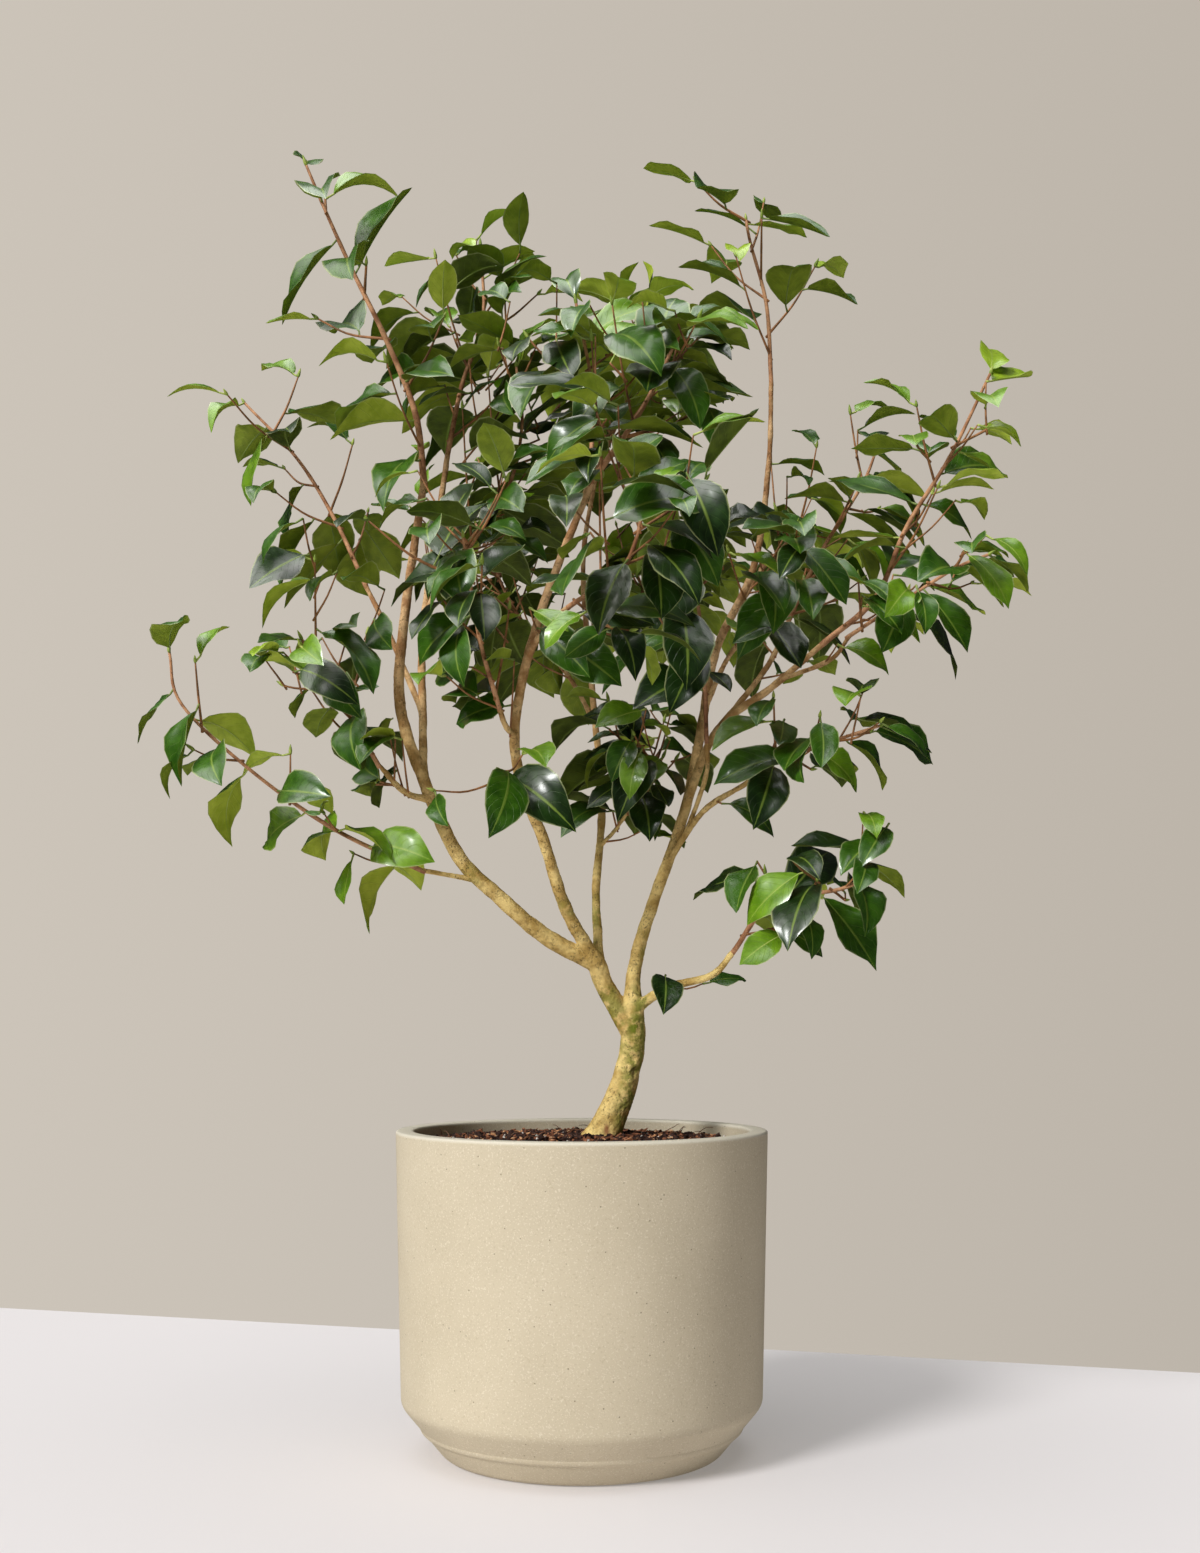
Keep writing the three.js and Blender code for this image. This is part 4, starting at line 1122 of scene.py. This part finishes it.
class Foliage:
    """The leaves of one spray, with their outlines kept to test the next leaf against."""

    def __init__(self, name):
        self.name, self.seed, self.leaves = name, SPRAYS[name]["seed"], []
        near = gap(limb_segments[:, 0], stem_samples[name]).min(1) < NEAR_WOOD
        self.wood = limb_segments[near]
        self.triangles, self.rims = np.zeros((0, 3, 3)), np.zeros((0, 2, 3))
        self.low, self.high = np.full(3, -np.inf), np.full(3, np.inf)
        self.scale = 1.0

    def close_reach(self, margin):
        """From now on nothing may reach further than the leaves that are there, apart from a margin, and
        nothing may leave the box of the whole plant."""
        points = self.triangles.reshape(-1, 3)
        self.low = np.maximum(points.min(0) - margin, PLANT_BOX[0] - PLANT_ROOM)
        self.high = np.minimum(points.max(0) + margin, PLANT_BOX[1] + PLANT_ROOM)

    def is_within(self, points):
        return bool((points > self.low).all() and (points < self.high).all())

    def add_wood(self, line):
        self.wood = np.vstack([self.wood, line.segments()])

    def try_leaf(self, line, index, share, turn, near_tip):
        root, axis = line.at(share), line.direction(share)
        length = self.scale * LEAF["length"] * (0.76 + 0.4 * chance(self.seed, index, "length"))
        length *= 1 - LEAF["young"] * near_tip
        width = length * LEAF["width"] * (0.88 + 0.24 * chance(self.seed, index, "width"))
        for attempt in range(TRIES["leaf"]):
            stance = stance_of(self.seed, index, root, axis, turn + attempt * TURN_ON["leaf"], near_tip)
            way, side, normal = face_light(self.seed, index, root, stance, near_tip)
            foot = root + LEAF["stalk"] * way
            outline = outline_of(foot, way, side, normal, length, width)
            with_middle = np.vstack([outline, outline.mean(0)])
            if not self.is_within(outline) or not is_free(self.name, with_middle):
                continue
            feet = np.broadcast_to(foot, (len(outline) - 2, 3))
            fan = np.stack([feet, outline[1:-1], outline[2:]], 1)
            rim = np.stack([outline, np.roll(outline, -1, 0)], 1)
            if crosses(self.wood, fan) or crosses(self.rims, fan) or crosses(rim, self.triangles):
                continue
            self.leaves.append({
                "root": line.smooth(share), "foot": foot, "way": way, "side": side, "normal": normal,
                "length": length, "width": width, "near_tip": near_tip, "spray": self.name,
                "number": index, "line": line, "share": share})
            self.triangles = np.vstack([self.triangles, fan])
            self.rims = np.vstack([self.rims, rim])
            return

    def clothe(self, line, shoot, bare):
        """Leaves along one stem or twig, from where its bare foot ends to its tip."""
        first = bare * line.length + FIRST_LEAF
        count = max(1, int(math.floor((line.length - first) / (LEAF["gap"] * self.scale) + 0.5)))
        for j in range(count + 1):
            share = min(1, (first + (line.length - first) * j / count) / line.length)
            near_tip = max(0.0, 1 - (1 - share) * line.length / NEAR_TIP)
            turn = GOLDEN_ANGLE * j + TURN * chance(self.seed, shoot, "turn")
            self.try_leaf(line, 100 * shoot + j, share, turn, near_tip)


# %% Side twigs, one step finer
FINE = {"share": 0.55, "shortest": 34.0, "on_stem": 3, "on_bough": 3, "margin": 30.0, "leaf": 0.94}
BOUGH_END, BOUGH_SPREAD = 160, 150


def grow_side_twigs(foliage, twigs):
    """Shorter twigs with smaller leaves on the stem, the twigs and the bough, clear of what is there."""
    spray, stem, grown = SPRAYS[foliage.name], stems[foliage.name], []
    bough = limb_lines[spray["on"]]
    on_each, foliage.seed = spray["fine"]
    foliage.close_reach(FINE["margin"])
    foliage.scale = FINE["leaf"]
    for k, bearer in enumerate([stem] * FINE["on_stem"] + twigs + [bough] * FINE["on_bough"]):
        for j in range(on_each):
            index = 10 * k + j
            whole = bearer.length if bearer in twigs else spray["reach"]
            from_foot, spread = (0.3 + 0.28 * j, 0.2) if bearer in twigs else (0.15, 0.8)
            if bearer is bough:
                from_foot = max(1 - BOUGH_END / bough.length, 0.1)
                spread = min(BOUGH_SPREAD / bough.length, 0.85)
            share = from_foot + spread * chance(foliage.seed, index, "fine_place")
            size = whole * FINE["share"] * (0.7 + 0.6 * chance(foliage.seed, index, "fine_length"))
            size = max(FINE["shortest"], size)
            lean = math.radians(38 + 22 * chance(foliage.seed, index, "fine_lean"))
            for attempt in range(TRIES["side_twig"]):
                turn = TURN * chance(foliage.seed, index, "fine_turn") + attempt * TURN_ON["side_twig"]
                line = twig_line(bearer, share, lean, turn, size * (1 - SHORTEN["side_twig"] * attempt))
                if not foliage.is_within(line.points):
                    continue
                outside = line.samples()[3 if bearer is bough else 1:]
                if is_free(foliage.name, outside) and not crosses(line.segments(), foliage.triangles):
                    grown.append(line)
                    break
    return grown


all_twigs, side_twigs, leaves = {}, {}, []
for name in SPRAYS:
    foliage = Foliage(name)
    all_twigs[name] = grow_twigs(name)
    shoots = [(stems[name], BARE["stem"])] + [(twig, BARE["twig"]) for twig in all_twigs[name]]
    for line, _ in shoots:
        foliage.add_wood(line)
    for shoot, (line, bare) in enumerate(shoots):
        foliage.clothe(line, shoot, bare)
    side_twigs[name] = grow_side_twigs(foliage, all_twigs[name])
    for line in side_twigs[name]:
        foliage.add_wood(line)
    for extra, line in enumerate(side_twigs[name]):
        foliage.clothe(line, len(shoots) + extra, BARE["side_twig"])
    shed_share, shed_seed = SPRAYS[name]["shed"]
    kept = [leaf for leaf in foliage.leaves if draw(shed_seed, leaf["number"]) >= shed_share]
    for leaf in kept:
        leaf["line"].leafy_to = max(leaf["line"].leafy_to, leaf["share"])
    leaves += kept
    for line in side_twigs[name] + all_twigs[name]:
        if line.leafy_to:
            line.bearer.leafy_to = max(line.bearer.leafy_to, line.root_share)
    all_twigs[name] = [twig for twig in all_twigs[name] if twig.leafy_to]
    side_twigs[name] = [twig for twig in side_twigs[name] if twig.leafy_to]
    print(name, "has", len(all_twigs[name]), "twigs,", len(side_twigs[name]), "side twigs and",
          len(kept), "leaves, shed", len(foliage.leaves) - len(kept))
print("leaves in all:", len(leaves))

# %% [markdown]
# ## Stems, twigs and buds
#
# The young wood is round and thin, with small swellings spaced along it. It starts at the width of
# the bough that bears it, so that nothing shows where one ends and the other begins, and it ends in a
# pointed green bud. Older stems are tan and the year's twigs are red-brown, which are two pieces with
# two finishes.

# %% Stem and twig tubes
STEM_TIP, TWIG_FOOT, TWIG_TIP = 1.3, 1.4, 0.8
SIDE_TWIG_FOOT, SIDE_TWIG_TIP = TWIG_FOOT * 0.8, TWIG_TIP * 0.9
SINK = 5.0
SWELLING = {"by": 0.13, "wave": np.array([0.07, 0.05, 0.19])}


def end_of(line):
    """A shoot is seen a little past its last leaf, as a share of its length."""
    return line.leafy_to * 0.98 + 0.02


def shoot_tube(line, start_radius, end_radius, sides):
    """A thin tapering tube along a line, started a little way back inside what bears it."""
    share = np.linspace(0, 1, max(4, int(line.length / 7))) * end_of(line)
    path = line.smooth(share)
    if line.bearer is not None:
        path = path + (line.bearer.smooth(line.root_share) - path[0]) * (1 - share[:, None]) ** 3
    path = np.vstack([path[0] - unit(path[1] - path[0]) * SINK, path])
    radii = start_radius + (end_radius - start_radius) * np.concatenate([[0], share])
    radii = radii * (1 + SWELLING["by"] * np.maximum(0, np.sin(path @ SWELLING["wave"])) ** 6)
    return tube(path, radii, sides)


def make_wood_finish(name, light, dark, roughness):
    wood = Finish(name, light, roughness, Specular_IOR_Level=0.35)
    place = wood.place()
    patches = wood.noise(place, 60.0, 4.0, 0.6).between(0.35, 0.65)
    flecks = wood.noise(place, 500.0, 2.0).between(0.58, 0.7)
    colour = wood.mix(flecks * 0.5, wood.mix(patches, light, dark), paint(64, 44, 30))
    wood.set(Base_Color=colour, Roughness=roughness + patches * 0.12)
    wood.relief(wood.noise(place, 800.0, 3.0), 0.0003)
    return wood.material


stem_finish = make_wood_finish("stem_bark", paint(214, 160, 116), paint(150, 100, 66), 0.6)
twig_finish = make_wood_finish("twig_bark", paint(178, 122, 76), paint(120, 84, 50), 0.55)
foliage_nodes = ["foliage_" + name for name in SPRAYS]

stem_tubes = [shoot_tube(stems[name], LIMBS[spray["on"]]["thick"][1], STEM_TIP, 8)
              for name, spray in SPRAYS.items()]
twig_tubes = [shoot_tube(twig, TWIG_FOOT, TWIG_TIP, 6) for name in SPRAYS for twig in all_twigs[name]]
twig_tubes += [shoot_tube(twig, SIDE_TWIG_FOOT, SIDE_TWIG_TIP, 6)
               for name in SPRAYS for twig in side_twigs[name]]
make_piece("stems", join_surfaces(stem_tubes), [stem_finish], foliage_nodes)
make_piece("twigs", join_surfaces(twig_tubes), [twig_finish], foliage_nodes)

# %% Buds
BUD_SHARES = np.array([0.0, 0.12, 0.3, 0.5, 0.72, 0.9])
BUD_WIDTHS = np.array([0.5, 0.85, 1.0, 0.86, 0.52, 0.18])
BUD_SIZES, BUD_SEED = (7.5, 13.0), 300


def bud_tube(root, way, length, width):
    """A pointed bud: a tube whose width swells near its foot and draws in to its tip."""
    path = root + BUD_SHARES[:, None] * length * way
    return tube(path, BUD_WIDTHS * width / 2, 7)


bud_tubes = []
for name in SPRAYS:
    tips = [stems[name]] + all_twigs[name]
    for k, line in enumerate(tips):
        way = unit(unit(line.fine[-1] - line.fine[-2]) + 0.25 * UP)
        size = BUD_SIZES[0] + (BUD_SIZES[1] - BUD_SIZES[0]) * draw(SPRAYS[name]["seed"] + BUD_SEED, k)
        bud_tubes.append(bud_tube(line.smooth(end_of(line)) - way, way, size, 2.2 + 0.12 * size))
bud_finish = make_wood_finish("bud_scales", paint(170, 186, 84), paint(128, 152, 58), 0.45)
make_piece("buds", join_surfaces(bud_tubes), [bud_finish])

# %% [markdown]
# ## Leaves
#
# A camellia leaf is a thick glossy blade, widest a little below its middle, with a drawn-out drooping
# tip, halves that fold up from a pale midrib and bulge between rib and margin, and margins that wave a
# little. All of that is one formula over two parameters, u along the leaf and v across it. Each blade is
# closed, with an upper and a lower skin that meet at a sharp margin, and the two skins have their own
# finish, because the underside is pale and matte. The underside is also painted lighter than its own
# pale green, as painted light shining through the leaf. All blades are worked out at once.

# %% The blade
BLADE_U = np.array([0.07, 0.18, 0.31, 0.45, 0.60, 0.74, 0.86, 0.94])
BLADE_HALF = np.array([0.34, 0.70, 0.93, 1.0, 0.95, 0.76, 0.44, 0.17])
BLADE_V = np.array([-1.0, -0.5, 0.0, 0.5, 1.0])
SHAPE = {"fold": (0.08, 0.5), "dome": (0.05, 0.2), "wave": (0.03, 0.12), "arch": (-0.02, 0.10),
         "droop": (0.06, 0.40), "curl": (-0.12, 0.12)}
BLADE_THICK = 0.9
SHAPE_SEED, SPRAY_STRIDE = 500, 7919


def own(leaves, key):
    return np.array([leaf[key] for leaf in leaves], float)


def shape_draw(numbers, key):
    low, high = SHAPE[key]
    return (low + (high - low) * draw(SHAPE_SEED + list(SHAPE).index(key), numbers))[:, None, None]


def blade_points(leaves, u, v):
    """Points of every leaf's upper skin. Along its way a point lies u of the length out, less what the
    droop takes. Across, it lies v half-widths from the midrib, plus the curl of the whole leaf. Its
    height is the fold times the distance from the rib, plus a dome between rib and margin, plus a wave
    that grows towards the margin, plus the arch, less the droop of the tip."""
    numbers = own(leaves, "number") + SPRAY_STRIDE * draw(own(leaves, "spray_number"), 5)
    length, width = own(leaves, "length")[:, None, None], own(leaves, "width")[:, None, None]
    u = np.asarray(u)[None, :, None]
    v = np.asarray(v)[None, None, :]
    half = width / 2 * np.interp(u, [0, *BLADE_U, 1], [0, *BLADE_HALF, 0])
    fold, dome, wave, arch, droop, curl = [shape_draw(numbers, key) for key in SHAPE]
    rise = half * (fold * np.abs(v) + 4 * dome * np.abs(v) * (1 - np.abs(v)))
    ripples = np.sin(TURN * (1.4 * u + fold * 9 + 0.23 * v))
    rise = rise + width * wave * v ** 2 * ripples * (1 - (2 * u - 1) ** 4)
    rise = rise + length * (4 * arch * u * (1 - u) - droop * u ** 2.1)
    out, over = length * (u - 0.3 * droop * u ** 3), v * half + length * curl * u ** 2
    return (own(leaves, "foot")[:, None, None] + out[..., None] * own(leaves, "way")[:, None, None]
            + over[..., None] * own(leaves, "side")[:, None, None]
            + rise[..., None] * own(leaves, "normal")[:, None, None])


def blade_template():
    """The faces of one closed blade. Points 0 and 1 are its foot and tip, then come the rows of the
    upper skin, then the inner points of the lower skin, whose margins are the upper skin's."""
    rows, columns = len(BLADE_U), len(BLADE_V)
    upper = 2 + np.arange(rows * columns).reshape(rows, columns)
    lower = upper.copy()
    lower[:, 1:-1] = 2 + rows * columns + np.arange(rows * (columns - 2)).reshape(rows, columns - 2)
    quads, fans = [], []
    for skin, flip in ((upper, 1), (lower, -1)):
        corners = [skin[:-1, :-1], skin[:-1, 1:], skin[1:, 1:], skin[1:, :-1]]
        quads.append(np.stack([corners[0], *corners[1:][::flip]], -1).reshape(-1, 4))
        foot, tip = np.zeros(columns - 1, int), np.ones(columns - 1, int)
        fans.append(np.stack([foot, skin[0, 1:], skin[0, :-1]], 1)[:, ::flip])
        fans.append(np.stack([tip, skin[-1, :-1], skin[-1, 1:]], 1)[:, ::flip])
    side_of_quad = np.repeat([0, 1], len(quads[0]))
    side_of_fan = np.repeat([0, 1], 2 * (columns - 1))
    margin = np.concatenate([[0, 1], upper[:, 0], upper[:, -1]])
    return np.vstack(quads), np.vstack(fans), side_of_quad, side_of_fan, margin


QUADS, FANS, SIDE_OF_QUAD, SIDE_OF_FAN, MARGIN = blade_template()
POINTS_EACH = 2 + len(BLADE_U) * (2 * len(BLADE_V) - 2)
print("faces on one leaf:", len(QUADS) + len(FANS))


# %% Many blades as one piece
def blades(leaves):
    """The surface of many leaves, the finish of each face and the leaf coordinates of each point."""
    count = len(leaves)
    skin = blade_points(leaves, BLADE_U, BLADE_V)
    ends = blade_points(leaves, [0.0, 1.0], [0.0]).reshape(count, 2, 3)
    below = skin[:, :, 1:-1] - BLADE_THICK * own(leaves, "normal")[:, None, None]
    points = np.concatenate([ends, skin.reshape(count, -1, 3), below.reshape(count, -1, 3)], 1)
    lift = POINTS_EACH * np.arange(count)[:, None, None]
    faces = [(QUADS[None] + lift).reshape(-1, 4), (FANS[None] + lift).reshape(-1, 3)]
    side = np.concatenate([np.tile(SIDE_OF_QUAD, count), np.tile(SIDE_OF_FAN, count)])
    across_leaf, along_leaf = [g.ravel() for g in np.meshgrid(BLADE_V / 2 + 0.5, BLADE_U)]
    inner, inner_along = [g.ravel() for g in np.meshgrid(BLADE_V[1:-1] / 2 + 0.5, BLADE_U)]
    one = np.stack([np.concatenate([[0.5, 0.5], across_leaf, inner]),
                    np.concatenate([[0, 1], along_leaf, inner_along])], 1)
    return (points.reshape(-1, 3), faces), side, np.tile(one, (count, 1))


def sharpen_margins(piece, count):
    """Marks the margin's edges sharp, so that the upper and lower skin are each shaded by themselves."""
    on_margin = np.zeros(POINTS_EACH, bool)
    on_margin[MARGIN] = True
    on_margin = np.tile(on_margin, count)
    ends = np.zeros(len(piece.data.edges) * 2, np.int32)
    piece.data.edges.foreach_get("vertices", ends)
    sharp = on_margin[ends.reshape(-1, 2)].all(1)
    piece.data.edges.foreach_set("use_edge_sharp", sharp)


# %% [markdown]
# The finish of a leaf has three parts. The colour is a deep green with soft mottling, a slightly
# lighter net of side veins, which run out from the midrib at a slant, a pale rib and a pale margin. The
# margin is partly the leaf's own paler edge and partly a painted highlight where the curved edge catches
# the light. The wax shows as a thin coat over a fairly smooth base. The side veins are pressed in a
# little as well. Young leaves are thinner and let light through, which a plain lighter green stands for.

# %% Leaf finishes
VEINS, VEIN_SLANT = 8, 2.6


def make_leaf_finish(name, deep, bright, vein, roughness, coat, veins_out):
    leaf = Finish(name, deep, roughness, Specular_IOR_Level=0.4, Coat_Roughness=0.2, Coat_Weight=coat)
    sheet = leaf.node("ShaderNodeTexCoord", output="UV")
    v, u = leaf.part(sheet, "X"), leaf.part(sheet, "Y")
    from_rib = (v - 0.5).size() * 2
    place = leaf.place()
    mottle = leaf.noise(place, 75.0, 3.0, 0.55).between(0.3, 0.7)
    lines = 1 - ((u * VEINS - from_rib * VEIN_SLANT) * math.pi).sine().size()
    lines = lines.between(0.82, 1.0) * from_rib.between(0.05, 0.2)
    # The margin is partly the leaf's own paler edge and partly a painted highlight where the curved edge
    # catches the light.
    margin = from_rib.between(0.90, 1.0)
    colour = leaf.mix(mottle, deep, bright)
    colour = leaf.mix(lines * 0.35, colour, vein)
    colour = leaf.mix(margin * 0.55, colour, MARGIN_AND_HIGHLIGHT_TONE)
    colour = leaf.mix((1 - from_rib.between(0.02, 0.09)) * 0.5, colour, RIB_TONE)
    leaf.set(Base_Color=colour, Roughness=roughness + mottle * 0.1)
    leaf.relief(lines * veins_out + leaf.noise(place, 60.0, 1.0) * 0.5, 0.0003)
    return leaf.material


# The under colours are the underside's own pale green painted lighter still: painted light, standing for
# light that shines through the leaf.
TONES = {
    "deep": {"top": ((12, 36, 1), (28, 60, 4), (64, 98, 24)),
             "under": ((70, 86, 12), (96, 114, 24), (130, 144, 56))},
    "green": {"top": ((36, 76, 4), (60, 104, 10), (100, 136, 42)),
              "under": ((118, 138, 24), (146, 164, 42), (178, 190, 82))},
    "bright": {"top": ((88, 130, 14), (118, 160, 26), (154, 184, 72)),
               "under": ((164, 184, 44), (190, 206, 68), (210, 222, 108))},
    "young": {"top": ((142, 176, 26), (170, 200, 46), (202, 222, 104)),
              "under": ((184, 208, 60), (206, 224, 86), (220, 234, 122))},
}
MARGIN_AND_HIGHLIGHT_TONE, RIB_TONE = paint(196, 204, 140), paint(150, 178, 66)
SKIN_GLOSS = {"top": (0.36, 0.65, -0.8), "under": (0.6, 0.0, 0.8)}
TONE_SEED = 700
TONE_WEIGHTS = {"light": 0.42, "near_tip": 0.22, "own_draw": 0.48}
TONE_UP_TO = {"deep": 0.40, "green": 0.64, "bright": 0.84, "young": math.inf}


def tone_of(leaf):
    """Which tone a leaf has: its spray's lightness, its nearness to a tip and its own draw, added up.
    The spray's lightness is partly painted light and shade, darker for sprays low and inside the crown.
    """
    spray = SPRAYS[leaf["spray"]]
    own_draw = float(draw(spray["seed"] + TONE_SEED, leaf["number"]))
    share = (TONE_WEIGHTS["light"] * spray["light"] + TONE_WEIGHTS["near_tip"] * leaf["near_tip"]
             + TONE_WEIGHTS["own_draw"] * own_draw)
    return next(tone for tone, limit in TONE_UP_TO.items() if share < limit)


for leaf in leaves:
    leaf["spray_number"] = list(SPRAYS).index(leaf["spray"])
for tone, colours in TONES.items():
    members = [leaf for leaf in leaves if tone_of(leaf) == tone]
    surface, side, leaf_uv = blades(members)
    finishes = [make_leaf_finish(f"leaf_{skin}_{tone}", *[paint(*c) for c in colours[skin]], *gloss)
                for skin, gloss in SKIN_GLOSS.items()]
    piece = make_piece("leaves_" + tone, surface, finishes, foliage_nodes,
                       finish_of_face=side, uv=leaf_uv)
    sharpen_margins(piece, len(members))
    print(len(members), "leaves are", tone)

# %% [markdown]
# A leaf hangs on a short stalk that runs on as its midrib, pale against the blade and standing out
# below. One thin tapering tube along the middle of each blade is both. Its rings use the leaf's own
# directions, so all midribs are made in one go.

# %% Stalks and midribs
RIB_U = np.array([0.0, 0.07, 0.18, 0.31, 0.45, 0.60, 0.74, 0.86])
RIB_RADII = np.concatenate([[1.25, 1.0, 0.95], 0.82 - 0.42 * RIB_U[1:]])
RIB_BELOW, RIB_SIDES = 0.42, 5


def midribs(leaves):
    """Tubes from each leaf's root to near its tip, thinning all the way, just below the upper skin."""
    count, normal, side = len(leaves), own(leaves, "normal"), own(leaves, "side")
    middle = blade_points(leaves, RIB_U, [0.0])[:, :, 0] - RIB_BELOW * normal[:, None]
    root = own(leaves, "root")[:, None]
    path = np.concatenate([root, root + 0.55 * (middle[:, :1] - root), middle], 1)
    angle = TURN * np.arange(RIB_SIDES) / RIB_SIDES
    ring = (np.cos(angle)[:, None] * normal[:, None] + np.sin(angle)[:, None] * side[:, None])[:, None]
    rings = path[:, :, None] + RIB_RADII[None, :, None, None] * ring
    stack = [close_stack(r, p[0], p[-1]) for r, p in zip(rings, path)]
    return join_surfaces(stack)


for tone_names, name, light, dark in (
        (("deep", "green"), "midribs", (142, 158, 84), (112, 132, 62)),
        (("bright", "young"), "midribs_young", (190, 202, 108), (160, 180, 84))):
    members = [leaf for leaf in leaves if tone_of(leaf) in tone_names]
    rib_finish = make_wood_finish(name + "_finish", paint(*light), paint(*dark), 0.5)
    make_piece(name, midribs(members), [rib_finish])
